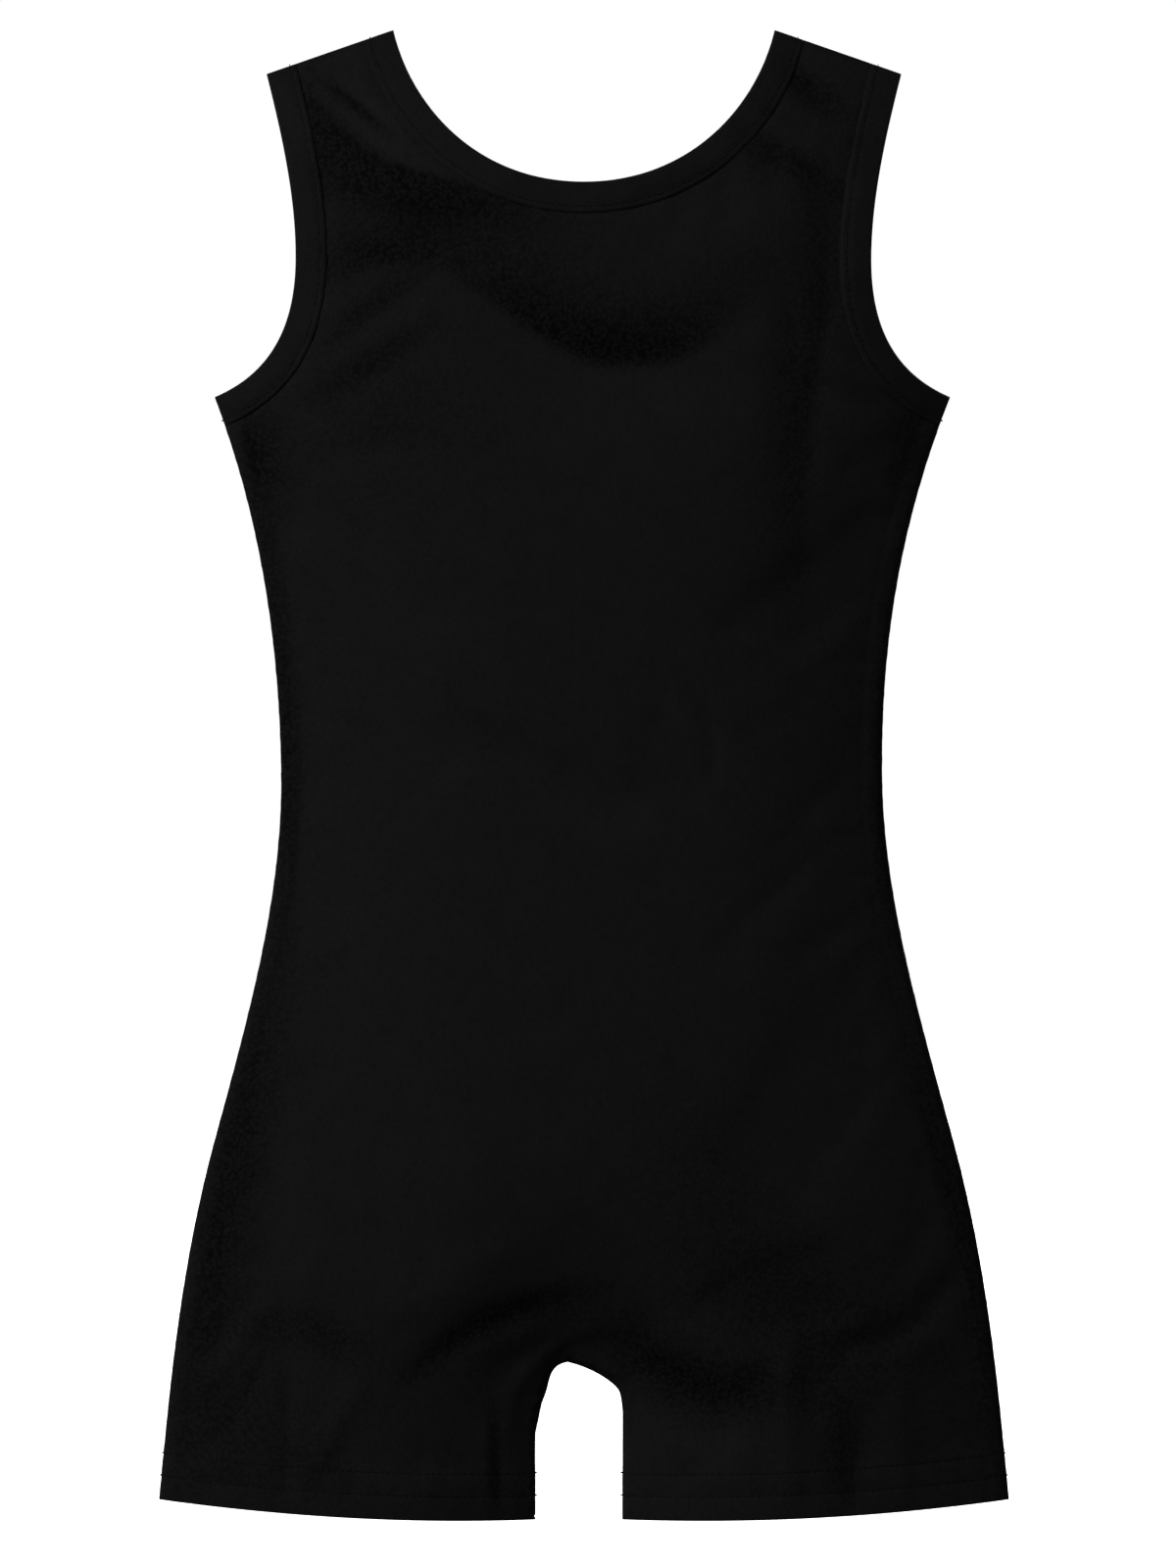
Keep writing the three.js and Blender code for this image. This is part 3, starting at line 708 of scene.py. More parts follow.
def knit(name, black, wale, course, cloud, roughness, sheen, level):
    """A knit in a dark yarn. `wale` and `course` are its stitch sizes in millimetres."""
    m = Maker(name)
    uv, across, along = cloth_place(m)
    clouds = m.node("ShaderNodeTexNoise", {}, {"Vector": uv, "Scale": 70.0, "Detail": 3.0})
    fine = m.node("ShaderNodeTexNoise", {}, {"Vector": uv, "Scale": 420.0, "Detail": 4.0})
    fuzz = m.node("ShaderNodeTexNoise", {}, {"Vector": uv, "Scale": 1900.0, "Detail": 2.0})
    cells = m.node("ShaderNodeTexVoronoi", {"feature": "F1"}, {"Vector": uv, "Scale": 640.0})
    pebble = 1 - cells
    shade_and_crinkle_level = m.node("ShaderNodeAttribute", {"attribute_name": "shade_and_crinkle"}, {}, 2)
    wander = (fine - 0.5) * 1.6
    column = (across * (math.tau / wale) + wander).math("SINE") * 0.5 + 0.5
    row = (along * (math.tau / course) + wander).math("SINE") * 0.5 + 0.5
    loops = column.math("SQRT") * (row * 0.45 + 0.55)
    shade = (clouds * 0.4 + fine * 0.2 + loops * 0.3 + pebble * 0.4 + fuzz * 0.2).clamped()
    deep = tuple(c * (1 - cloud) for c in black) + (1,)
    pale = tuple(c * (1 + 1.6 * cloud) for c in black) + (1,)
    level_shade = m.blend(shade, deep, pale)
    # Painted shade: the patch level read above pulls the colour towards near black, standing in for shade
    # in folds and at the sides; it also raises the crinkle in the bump.
    painted_shade = 1 - shade_and_crinkle_level * (1.15 - pebble * 0.9).clamped()
    colour = m.blend(painted_shade.clamped(), (0.0006, 0.0006, 0.0006, 1), level_shade)
    rough = roughness + (clouds - 0.5) * 0.16 - loops * 0.06
    height = loops * 0.5 + fuzz * 0.3 + pebble * (0.5 + shade_and_crinkle_level * 1.6)
    bump = m.node("ShaderNodeBump", {}, {"Strength": 0.6, "Distance": 0.00025, "Height": height})
    return m.finish({
        "Base Color": colour, "Roughness": rough, "Normal": bump,
        "Specular IOR Level": level, "Sheen Weight": sheen, "Sheen Roughness": 0.45,
        "Sheen Tint": (0.75, 0.78, 0.85, 1),
    })


body_knit = knit("body_knit", (0.0049, 0.0049, 0.0051), 0.62, 0.5, 0.45, 0.74, 0.004, 0.02)
binding_knit = knit("binding_knit", (0.0047, 0.0047, 0.0049), 0.55, 0.45, 0.4, 0.7, 0.004, 0.022)
lining_jersey = knit("lining_jersey", (0.0052, 0.0052, 0.0055), 0.8, 0.7, 0.4, 0.85, 0.012, 0.06)
elastic_tape = knit("elastic_tape", (0.006, 0.006, 0.0065), 1.1, 2.0, 0.5, 0.7, 0.010, 0.12)
print("four knits are ready")

# %% [markdown]
# The thread is spun polyester in the same black. It is a little glossier than the cloth, which is
# why the rows of stitches can be seen at all. The label is a satin tape, left blank.

# %% Thread and label finishes
def thread_finish():
    m = Maker("sewing_thread")
    place = m.node("ShaderNodeTexCoord", {}, {}, 3)
    twist = m.node("ShaderNodeTexNoise", {}, {"Vector": place, "Scale": 900.0, "Detail": 2.0})
    colour = m.blend(twist, (0.0014, 0.0014, 0.0015, 1), (0.0032, 0.0032, 0.0034, 1))
    bump = m.node("ShaderNodeBump", {}, {"Strength": 0.5, "Distance": 0.0001, "Height": twist})
    return m.finish({
        "Base Color": colour, "Roughness": 0.5 + twist * 0.15, "Normal": bump,
        "Specular IOR Level": 0.06, "Sheen Weight": 0.002, "Sheen Roughness": 0.4,
    })


def satin_finish():
    m = Maker("label_satin")
    uv, across, along = cloth_place(m)
    weave = (along * (math.tau / 0.25)).math("SINE") * 0.5 + 0.5
    slub = m.node("ShaderNodeTexNoise", {}, {"Vector": uv, "Scale": 600.0, "Detail": 3.0})
    colour = m.blend(slub, (0.62, 0.62, 0.6, 1), (0.74, 0.74, 0.72, 1))
    height = weave * 0.6 + slub * 0.4
    bump = m.node("ShaderNodeBump", {}, {"Strength": 0.3, "Distance": 0.0001, "Height": height})
    return m.finish({
        "Base Color": colour, "Roughness": 0.34 + slub * 0.12, "Normal": bump,
        "Sheen Weight": 0.1, "Sheen Roughness": 0.3,
    })


sewing_thread, label_satin = thread_finish(), satin_finish()
print("thread and satin are ready")

# %% [markdown]
# Now the tools for making pieces. A piece is a sheet of points along the middle of its own
# thickness, with a map of its grain, which the Solidify modifier then turns into closed cloth. The
# modifier is applied straight away, so that each piece ends as a plain mesh.

# %% Making a piece of cloth
def faces_of_grid(rows, columns, first=0):
    """The four-sided faces of a grid whose points are numbered along each row."""
    return squares_between(first + np.arange(rows * columns).reshape(rows, columns))


def as_plain_mesh(piece):
    """Bakes the modifiers of a piece into its mesh and takes them off."""
    graph = bpy.context.evaluated_depsgraph_get()
    mesh = bpy.data.meshes.new_from_object(piece.evaluated_get(graph))
    piece.modifiers.clear()
    piece.data = mesh
    mesh.name = piece.name
    return piece


def cloth_piece(name, points, faces, grain, thickness, material, shade_and_crinkle_level=None):
    """A closed piece of cloth from its middle sheet."""
    mesh = bpy.data.meshes.new(name)
    mesh.from_pydata(np.asarray(points).tolist(), [], [[int(i) for i in face] for face in faces])
    piece = bpy.data.objects.new(name, mesh)
    bpy.context.collection.objects.link(piece)
    loops = np.empty(len(mesh.loops), int)
    mesh.loops.foreach_get("vertex_index", loops)
    mesh.uv_layers.new(name="cloth").data.foreach_set("uv", np.asarray(grain)[loops].ravel())
    mesh.polygons.foreach_set("use_smooth", np.ones(len(mesh.polygons), bool))
    mesh.materials.append(material)
    # The level of painted shade and crinkle, if given, goes on each point for the knit to read.
    if shade_and_crinkle_level is not None:
        shade_and_crinkle_layer = mesh.attributes.new("shade_and_crinkle", "FLOAT", "POINT")
        shade_and_crinkle_layer.data.foreach_set("value", shade_and_crinkle_level.astype(np.float32))
    wall = piece.modifiers.new("thickness", "SOLIDIFY")
    wall.thickness = thickness
    wall.offset = 0
    return as_plain_mesh(piece)


def hang(piece, node):
    """Puts a finished piece in its node's place on the garment."""
    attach(piece, "root")
    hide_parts(node)
    return piece


def kept_part(line, is_in, count):
    """The part of a line round its middle where `is_in` is positive, as `count` even points."""
    long = evenly(extended(line, 40 * MM), 0.4 * MM)
    level = is_in(long[:, 0], long[:, 1])
    middle = len(long) // 2
    outside = np.flatnonzero(level <= 0)
    before, after = outside[outside < middle], outside[outside > middle]
    first = before[-1] + 1 if len(before) else 0
    last = after[0] - 1 if len(after) else len(long) - 1
    part = long[first : last + 1]
    if len(before):
        share = level[first] / (level[first] - level[first - 1])
        part = np.vstack([long[first] + share * (long[first - 1] - long[first]), part])
    if len(after):
        share = level[last] / (level[last] - level[last + 1])
        part = np.vstack([part, long[last] + share * (long[last + 1] - long[last])])
    along = np.r_[0, np.cumsum(np.hypot(*np.diff(part, axis=0).T))]
    places = np.linspace(0, along[-1], count)
    return np.c_[np.interp(places, along, part[:, 0]), np.interp(places, along, part[:, 1])]


def length_of(line):
    return float(np.hypot(*np.diff(line, axis=0).T).sum())


def below_shoulder(x, z):
    return -z - (np.abs(x) - NECK_WIDTH / 2) * SHOULDER_PITCH - 0.2 * MM


def within_sides(x, z):
    return np.minimum(half_width(-z) - np.abs(x) - 0.2 * MM, below_shoulder(x, z))


def within_leg(x, z):
    return np.minimum(within_sides(x, z), np.abs(x) - LEG_GAP / 2 - 0.2 * MM)


def strip_piece(name, side, line, turn, section, is_in, thickness, material, mirror=False):
    """A strip that follows an edge. Its section is a list of (distance in, height)."""
    sign = -1 if mirror else 1
    count = max(8, round(length_of(line) / (1.6 * MM)))
    rows, grain, wide = [], [], 0.0
    for k, (distance, height) in enumerate(section):
        path = kept_part(inset(line, distance * MM, turn), is_in, count)
        rows.append(on_cloth(side, sign * path[:, 0], path[:, 1], np.full(count, height * MM)))
        if k:
            wide += math.hypot(*np.subtract(section[k], section[k - 1])) * MM
        grain.append(np.c_[np.linspace(0, length_of(path), count), np.full(count, wide)])
    faces = faces_of_grid(len(section), count)
    if (side == "front") != mirror:
        faces = faces[:, ::-1]
    points = np.concatenate(rows)
    return cloth_piece(name, points, faces, np.concatenate(grain), thickness * MM, material), wide


EDGES = {
    "neck_front": (neck_line("front"), 1), "neck_back": (neck_line("back"), 1),
    "armhole": (armhole_line(), -1), "hem": (hem_line(), 1),
    "side": (side_line(), -1), "inseam": (inseam_line(), -1), "shoulder": (shoulder_line(), -1),
}
print("edges:", ", ".join(EDGES))

# %% [markdown]
# Before the panels are cut, the fine relief: each binding pulls its panel down into a narrow ditch,
# each row of stitches draws the cloth in, the top of a turned-up hem shows through as a soft step,
# and the allowances inside the side seams lift the cloth beside them into a low rim with small
# puckers where the seam is a little too tight for such a stretchy cloth.

# %% The fine relief of the panels
def distance_to(line):
    """A function that measures how far points are from a line."""

    def measure(x, z):
        flat = np.stack([np.ravel(x), np.ravel(z)], axis=-1)
        found = np.empty(len(flat))
        for start in range(0, len(flat), 4000):
            part = flat[start : start + 4000, None] - line
            found[start : start + 4000] = np.sqrt((part**2).sum(axis=-1).min(axis=1))
        return found.reshape(np.shape(x))

    return measure


def dip(distance, at, depth, width):
    return -depth * np.exp(-(((distance - at) / width) ** 2))


def puckers(along, seed):
    """Uneven little waves along a seam."""
    waves = [(3.1, 0.5), (5.3, 0.9), (8.7, 1.0), (13.9, 0.6)]
    total = sum(level * np.sin(along / MM * 6.283 / span + seed * (k + 1.7)) for k, (span, level)
                in enumerate(waves))
    return total / 3


def beside_opening(edge, seed):
    measure = distance_to(EDGES[edge][0])

    def relief(x, z):
        distance = measure(np.abs(x), z)
        beyond = np.maximum(distance - 12.5 * MM, 0)
        wave = 0.22 * MM * puckers(x - z, seed) * np.exp(-beyond / (7 * MM))
        return dip(distance, 12.7 * MM, DITCH, DITCH_WIDTH) + wave

    return relief


def beside_hem(x, z):
    distance = measure_hem(np.abs(x), z)
    step = 0.35 * MM / (1 + np.exp((distance - 20.4 * MM) / (0.5 * MM)))
    wave = 0.2 * MM * puckers(x, 2.2) * np.exp(-(((distance - 14 * MM) / (9 * MM)) ** 2))
    rows = sum(dip(distance, at * MM, ROW_DIP, ROW_WIDTH) for at in HEM_ROWS.values())
    return step + wave + rows


def beside_side_seam(x, z):
    distance = half_width(-z) - np.abs(x)
    rim = 0.35 * MM * np.clip(distance / (1.6 * MM), 0, 1) / (1 + np.exp((distance - 7 * MM) / (0.6 * MM)))
    low = -z > UNDERARM_DROP + BINDING
    wave = 0.3 * MM * puckers(z, 0.7 + np.sign(x)) * np.exp(-distance / (9 * MM))
    return np.where(low, rim + dip(distance, 8.4 * MM, 0.2 * MM, 1.2 * MM) + wave, 0)


measure_hem = distance_to(EDGES["hem"][0])
RELIEF += [
    (("front",), beside_opening("neck_front", 0.3)),
    (("back",), beside_opening("neck_back", 1.1)),
    (("front", "back"), beside_opening("armhole", 1.9)),
    (("front", "back"), beside_hem),
    (("front", "back"), beside_side_seam),
]
print(len(RELIEF), "kinds of fine relief")

# %% [markdown]
# A panel is one piece of cloth, cut to the pattern and turned up inside each leg. Its outline is
# filled with points, close together beside bindings and hems and further apart elsewhere, and a
# Delaunay triangulation joins them. The turned-up hem goes on from the same outline, round a tight
# bend and up the inside.

# %% Cut the panels
def panel_outline(side):
    """The panel's cut outline, and its hem's part of it for the left leg."""
    spacing = 1.5 * MM
    tuck = 1.3 * MM

    def run(edge, distance, is_in):
        line, turn = EDGES[edge]
        path = inset(line, distance, turn)
        rough = kept_part(path, is_in, 50)
        return kept_part(path, is_in, max(4, round(length_of(rough) / spacing)))

    neck = run(f"neck_{side}", tuck, below_shoulder)
    armhole = run("armhole", tuck, within_sides)
    hem = run("hem", 0.75 * MM, within_leg)
    seam_x = 0.2 * MM
    drops = np.linspace(-armhole[-1, 1], -hem[-1, 1], round(0.45 / spacing))
    seam = np.c_[half_width(drops) - seam_x, -drops]
    inseam = run("inseam", 0.2 * MM, lambda x, z: z - hem[0, 1])
    shoulder = evenly([neck[0], armhole[0]], spacing)
    left = [shoulder[:-1], armhole[:-1], seam[:-1], hem[::-1][:-1]]
    half = np.vstack(left)
    other = (half * [-1, 1])[::-1]
    outline = np.vstack([half, inseam[:-1], other, neck[::-1][1:-1]])
    return outline, hem


def panel_points(side, outline):
    """Points inside the outline: rows beside what needs detail, and an even spread elsewhere."""
    rows = []
    beside_binding = (10.8, 11.7, 12.3, 12.9, 13.6, 14.6)
    for edge, distances in (
        (f"neck_{side}", beside_binding),
        ("armhole", beside_binding),
        ("hem", (9.1, 9.8, 10.5, 18.1, 18.8, 19.5, 20.1, 20.8)),
        ("side", (1.6, 3.2, 5.6, 6.6, 7.6, 8.6, 9.8)),
    ):
        line, turn = EDGES[edge]
        for distance in distances:
            row = evenly(kept_part(inset(line, distance * MM, turn), within_sides, 50), 1.5 * MM)
            rows.append(row)
            if not edge.startswith("neck"):
                rows.append(row * [-1, 1])
    fine = np.vstack(rows)
    fine = fine[(inside(fine[:, 0], fine[:, 1], side) > 1.9 * MM)]
    spread = 2.6 * MM
    columns = np.arange(-180 * MM, 180 * MM, spread)
    lines = np.arange(-BODY_LENGTH, 0, spread * 0.866)
    x, z = np.meshgrid(columns, lines)
    x = x + np.where(np.arange(len(lines)) % 2, spread / 2, 0)[:, None]
    even = np.c_[x.ravel(), z.ravel()]
    even = even[inside(even[:, 0], even[:, 1], side) > 2 * MM]
    clear = distance_to(np.vstack([fine, outline]))
    even = even[clear(even[:, 0], even[:, 1]) > 1.2 * MM]
    apart = distance_to(outline)
    fine = fine[apart(fine[:, 0], fine[:, 1]) > 0.8 * MM]
    return np.vstack([fine, even])


def triangulated(outline, points):
    """Joins an outline and the points inside it with triangles."""
    ring = len(outline)
    edges = [(i, (i + 1) % ring) for i in range(ring)]
    flat = [Vector(p) for p in np.vstack([outline, points])]
    found, _, triangles, *_ = delaunay_2d_cdt(flat, edges, [], 1, 1e-6)
    return np.array([tuple(v) for v in found]), np.array(triangles)


def panel(side):
    outline, hem = panel_outline(side)
    flat, triangles = triangulated(outline, panel_points(side, outline))
    level = np.full(len(flat), CLOTH / 2)
    sheet = on_cloth(side, flat[:, 0], flat[:, 1], level, fine=True)
    first = flat[triangles[0]]
    cross = np.cross(first[1] - first[0], first[2] - first[0])
    if (cross > 0) != (side == "front"):
        triangles = triangles[:, ::-1]
    points, grain, faces = [sheet], [flat], [list(t) for t in triangles]
    bend = [(0.75 - 0.45 * math.sin(t), -0.15 + 0.45 * math.cos(t)) for t in np.linspace(0, math.pi, 8)]
    section = bend + [(a, -0.6) for a in (2.5, 5, 7.5, 10, 12.5, 15, 17.5, 20)]
    line, turn = EDGES["hem"]
    for sign in (1, -1):
        start = sum(len(p) for p in points)
        rows, maps, wide = [], [], 0.0
        for k, (distance, height) in enumerate(section):
            path = kept_part(inset(line, distance * MM, turn), within_leg, len(hem))
            height = np.full(len(hem), height * MM)
            rows.append(on_cloth(side, sign * path[:, 0], path[:, 1], height, fine=True))
            if k:
                wide += math.hypot(*np.subtract(section[k], section[k - 1])) * MM
            maps.append(np.c_[sign * path[:, 0], hem[:, 1] - wide])
        strip = faces_of_grid(len(section), len(hem), start)
        if (side == "front") == (sign > 0):
            strip = strip[:, ::-1]
        points += rows
        grain += maps
        faces += strip.tolist()
    points, grain = np.concatenate(points), np.concatenate(grain)
    x, z = outline.T
    area = abs(np.dot(x, np.roll(z, 1)) - np.dot(z, np.roll(x, 1))) / 2 + 2 * length_of(hem) * HEM
    return points, faces, grain, area


def merged(points, faces, grain):
    """Joins points that lie in the same place, and drops faces that close up."""
    keys = np.round(points / (0.02 * MM)).astype(int)
    _, first, number = np.unique(keys, axis=0, return_index=True, return_inverse=True)
    number = number.ravel()
    joined = []
    for face in faces:
        corners = []
        for corner in number[face]:
            if corner not in corners:
                corners.append(int(corner))
        if len(corners) > 2:
            joined.append(corners)
    return points[first], joined, grain[first]


for side in ("front", "back"):
    points, faces, grain, area = panel(side)
    points, faces, grain = merged(points, faces, grain)
    # How much painted shade and crinkle each point of the panel gets, from the patches above.
    shade_and_crinkle_level = shade_and_crinkle_at(side, grain[:, 0], grain[:, 1])
    cloth = cloth_piece(f"{side}_panel_cloth", points, faces, grain, CLOTH, body_knit, shade_and_crinkle_level)
    hang(cloth, f"{side}_panel")
    print(f"{side} panel: {len(cloth.data.polygons)} faces, {area * 1e4:.0f} square cm of cloth")

# %% [markdown]
# The bindings are strips of the same knit, folded lengthwise over the raw edges and stitched down.
# Each is a section, a rolled outer edge, the face, a tight fold over the opening and the inner
# half, carried along its edge. A strip stops at the shoulder and side seams, where the next begins.

# %% Fold the bindings over the edges
def binding_section():
    """(distance in from the edge, height) in millimetres, from outside round to inside."""
    face = [(12, 0.32), (11.9, 0.5), (11.6, 0.7), (11.0, 0.84), (10.4, 0.84), (9.6, 0.7), (8.8, 0.9),
            (7.4, 1.02), (5.6, 1.06), (3.6, 1.05), (2.0, 1.0)]
    bend = [(0.95 - 0.95 * math.sin(t), 0.95 * math.cos(t)) for t in np.linspace(0, math.pi, 9)]
    return face + bend + [(a, -0.95) for a in (3, 5, 7, 9, 11)]


OPENINGS = [("neck", "front", "neck_front", ""), ("neck", "back", "neck_back", "")]
for side in ("front", "back"):
    OPENINGS += [("armhole", side, "armhole", f"_{hand}") for hand in ("left", "right")]
for kind, side, edge, hand in OPENINGS:
    line, turn = EDGES[edge]
    name = f"{kind}_binding_{side}{hand}"
    bounds = below_shoulder if kind == "neck" else within_sides
    piece, wide = strip_piece(name + "_fold", side, line, turn, binding_section(), bounds,
                              0.6, binding_knit, hand == "_right")
    hang(piece, name)
    print(f"{name}: {length_of(line) / MM:.0f} mm of strip {wide / MM:.0f} mm wide")

# %% [markdown]
# Inside each binding lies a flat elastic that keeps the opening snug. It is hardly ever seen, but it
# is why the edge stays so smooth, so it is made too, with a rib along its length.

# %% Elastics inside the bindings
for kind, side, edge, hand in OPENINGS:
    line, turn = EDGES[edge]
    name = f"{kind}_elastic_{side}{hand}"
    ribs = [(a, -0.33 - 0.03 * (k % 2)) for k, a in enumerate(np.linspace(1.6, 8.2, 9))]
    bounds = below_shoulder if kind == "neck" else within_sides
    piece, _ = strip_piece(name + "_tape", side, line, turn, ribs, bounds,
                           0.3, elastic_tape, hand == "_right")
    hang(piece, name)
print(len(OPENINGS), "elastics")

# %% [markdown]
# Stitches repeat along a path, which is work for Geometry Nodes. The tree resamples a path at the
# stitch length, sets one short fat stitch at each point, turned along the path and lying flat on the
# cloth, and makes the whole row real. One tree with named inputs sews every row on the garment: the
# slant input turns the same stitch across its path for the loops of an overlocked edge.

# %% A tree that sews
def sewing_tree():
    tree = bpy.data.node_groups.new("sewn_row", "GeometryNodeTree")
    face = tree.interface
    face.new_socket("Path", in_out="INPUT", socket_type="NodeSocketGeometry")
    for name, value in (("Spacing", 2.6), ("Length", 2.1), ("Thickness", 0.45), ("Slant", 0.0)):
        face.new_socket(name, in_out="INPUT", socket_type="NodeSocketFloat").default_value = value
    face.new_socket("Thread", in_out="INPUT", socket_type="NodeSocketMaterial")
    face.new_socket("Row", in_out="OUTPUT", socket_type="NodeSocketGeometry")

    def node(kind, settings=None, **links):
        made = tree.nodes.new(kind)
        for name, value in (settings or {}).items():
            setattr(made, name, value)
        for name, source in links.items():
            socket = made.inputs[name.replace("_", " ")]
            if isinstance(source, bpy.types.NodeSocket):
                tree.links.new(source, socket)
            else:
                socket.default_value = source
        return made

    given = node("NodeGroupInput").outputs
    curve = node("GeometryNodeMeshToCurve", Mesh=given["Path"])
    points = node("GeometryNodeResampleCurve", Curve=curve.outputs[0])
    points.mode = "LENGTH"
    tree.links.new(given["Spacing"], points.inputs["Length"])
    ball = node("GeometryNodeMeshUVSphere", Segments=6, Rings=5, Radius=0.5)
    size = node("ShaderNodeCombineXYZ", X=given["Length"], Y=given["Thickness"], Z=given["Thickness"])
    turn = node("ShaderNodeCombineXYZ", Z=given["Slant"])
    grain = node("GeometryNodeTransform", Geometry=ball.outputs["Mesh"], Scale=size.outputs[0])
    turned = node("GeometryNodeTransform", Geometry=grain.outputs[0], Rotation=turn.outputs[0])
    round_off = node("GeometryNodeSetShadeSmooth", Geometry=turned.outputs[0])
    way = node("GeometryNodeInputTangent")
    along = node("FunctionNodeAlignRotationToVector", {"axis": "X"}, Vector=way.outputs[0])
    outward = node("GeometryNodeInputNamedAttribute", {"data_type": "FLOAT_VECTOR"}, Name="outward")
    flat = node("FunctionNodeAlignRotationToVector", {"axis": "Z", "pivot_axis": "X"},
                Rotation=along.outputs[0], Vector=outward.outputs[0])
    row = node("GeometryNodeInstanceOnPoints", Points=points.outputs[0], Instance=round_off.outputs[0],
               Rotation=flat.outputs[0])
    real = node("GeometryNodeRealizeInstances", Geometry=row.outputs[0])
    sewn = node("GeometryNodeSetMaterial", Geometry=real.outputs[0], Material=given["Thread"])
    tree.links.new(sewn.outputs[0], node("NodeGroupOutput").inputs["Row"])
    return tree


SEWN_ROW = sewing_tree()
SOCKETS = {item.name: item.identifier for item in SEWN_ROW.interface.items_tree if item.in_out == "INPUT"}


def sewn(name, paths, spacing=2.6, length=2.1, thickness=0.45, slant=0.0):
    """One mesh with every stitch along some paths of (points, outward directions)."""
    points, outwards, edges = [], [], []
    for path, outward in paths:
        start = sum(len(p) for p in points)
        edges += [(start + i, start + i + 1) for i in range(len(path) - 1)]
        points.append(path)
        outwards.append(outward)
    mesh = bpy.data.meshes.new(name)
    mesh.from_pydata(np.concatenate(points).tolist(), edges, [])
    attribute = mesh.attributes.new("outward", "FLOAT_VECTOR", "POINT")
    attribute.data.foreach_set("vector", np.concatenate(outwards).astype(np.float32).ravel())
    row = bpy.data.objects.new(name, mesh)
    bpy.context.collection.objects.link(row)
    sewing = row.modifiers.new("sewn", "NODES")
    sewing.node_group = SEWN_ROW
    sizes = {"Spacing": spacing, "Length": length, "Thickness": thickness}
    for socket, value in sizes.items():
        sewing[SOCKETS[socket]] = value * MM
    sewing[SOCKETS["Slant"]] = slant
    sewing[SOCKETS["Thread"]] = sewing_thread
    as_plain_mesh(row)
    print(f"{name}: {len(row.data.vertices) // 26} stitches")
    return row


def row_path(side, line, turn, distance, height, is_in, mirror=False):
    """A path over the cloth, at a distance in from an edge, with its outward directions."""
    path = kept_part(inset(line, distance * MM, turn), is_in, max(8, round(length_of(line) / (1.0 * MM))))
    x = -path[:, 0] if mirror else path[:, 0]
    level = np.full(len(x), height * MM)
    low = on_cloth(side, x, path[:, 1], level, fine=True)
    high = on_cloth(side, x, path[:, 1], level + MM, fine=True)
    return low, (high - low) / MM


# %% [markdown]
# The rows that show: one along each binding close to its inner edge, and two round each leg, nine
# millimetres apart, from a twin-needle machine.

# %% Topstitch
for kind, side, edge, hand in OPENINGS:
    line, turn = EDGES[edge]
    name = f"{kind}_topstitch_{side}{hand}"
    bounds = below_shoulder if kind == "neck" else within_sides
    path = row_path(side, line, turn, BINDING_ROW, 1.1, bounds, hand == "_right")
    hang(sewn(name + "_row", [path]), name)

for row, distance in HEM_ROWS.items():
    for side in ("front", "back"):
        for hand in ("left", "right"):
            line, turn = EDGES["hem"]
            name = f"hem_topstitch_{row}_{side}_{hand}"
            path = row_path(side, line, turn, distance, 0.68, within_leg, hand == "right")
            hang(sewn(name + "_row", [path]), name)

# %% [markdown]
# Inside, the seams are overlocked. Their allowances stand in the plane of the seams as a narrow
# double strip, with thread loops across both its faces. The strip and its thread stand together for
# one node, and their ends come from that node's own box. Under the arm they run on up to the binding,
# so that no light shows through the side seam there.

# %% Overlocked seams
ALLOWANCE = 6.2 * MM
UP_TO_BINDING = 8 * MM


def waviness(along):
    """How far a narrow strip strays from the plane of the seams at its free edge."""
    return 0.25 * MM * np.sin(along / MM / 9.0)


def plane_strip(name, path, turn, root, wide, thickness, material, depth=0.0):
    """A slightly wavy strip in the plane of the seams, from `root` to `root + wide` off a line."""
    count = max(6, round(length_of(path) / (2.5 * MM)))
    rows, maps = [], []
    path = evenly(path, length_of(path) / (count - 1))
    along = np.linspace(0, length_of(path), len(path))
    for share in np.linspace(0, 1, 5):
        line = inset(path, root + wide * share, turn)
        y = depth + share * waviness(along)
        rows.append(laid(np.c_[line[:, 0], y, line[:, 1]]))
        maps.append(np.c_[along, np.full(len(along), wide * share)])
    faces = faces_of_grid(5, len(path))
    return cloth_piece(name, np.concatenate(rows), faces, np.concatenate(maps), thickness, material)


def overlock(node, path, turn, root, mirror=False):
    """The two allowances of a seam, and the loops of thread on both faces of them."""
    if mirror:
        path, turn = path * [-1, 1], -turn
    strip = plane_strip(f"{node}_allowance", path, turn, root, ALLOWANCE, 1.0 * MM, body_knit)
    line = evenly(inset(path, root + ALLOWANCE / 2, turn), MM)
    middle = waviness(np.linspace(0, length_of(path), len(line))) / 2
    paths = []
    for face in (-1, 1):
        points = laid(np.c_[line[:, 0], middle + face * 0.56 * MM, line[:, 1]])
        paths.append((points, np.tile([0.0, face, 0.0], (len(points), 1))))
    loops = sewn(f"{node}_loops", paths, 1.9, 6.6, 0.34, math.radians(78))
    hang(strip, node)
    hang(loops, node)


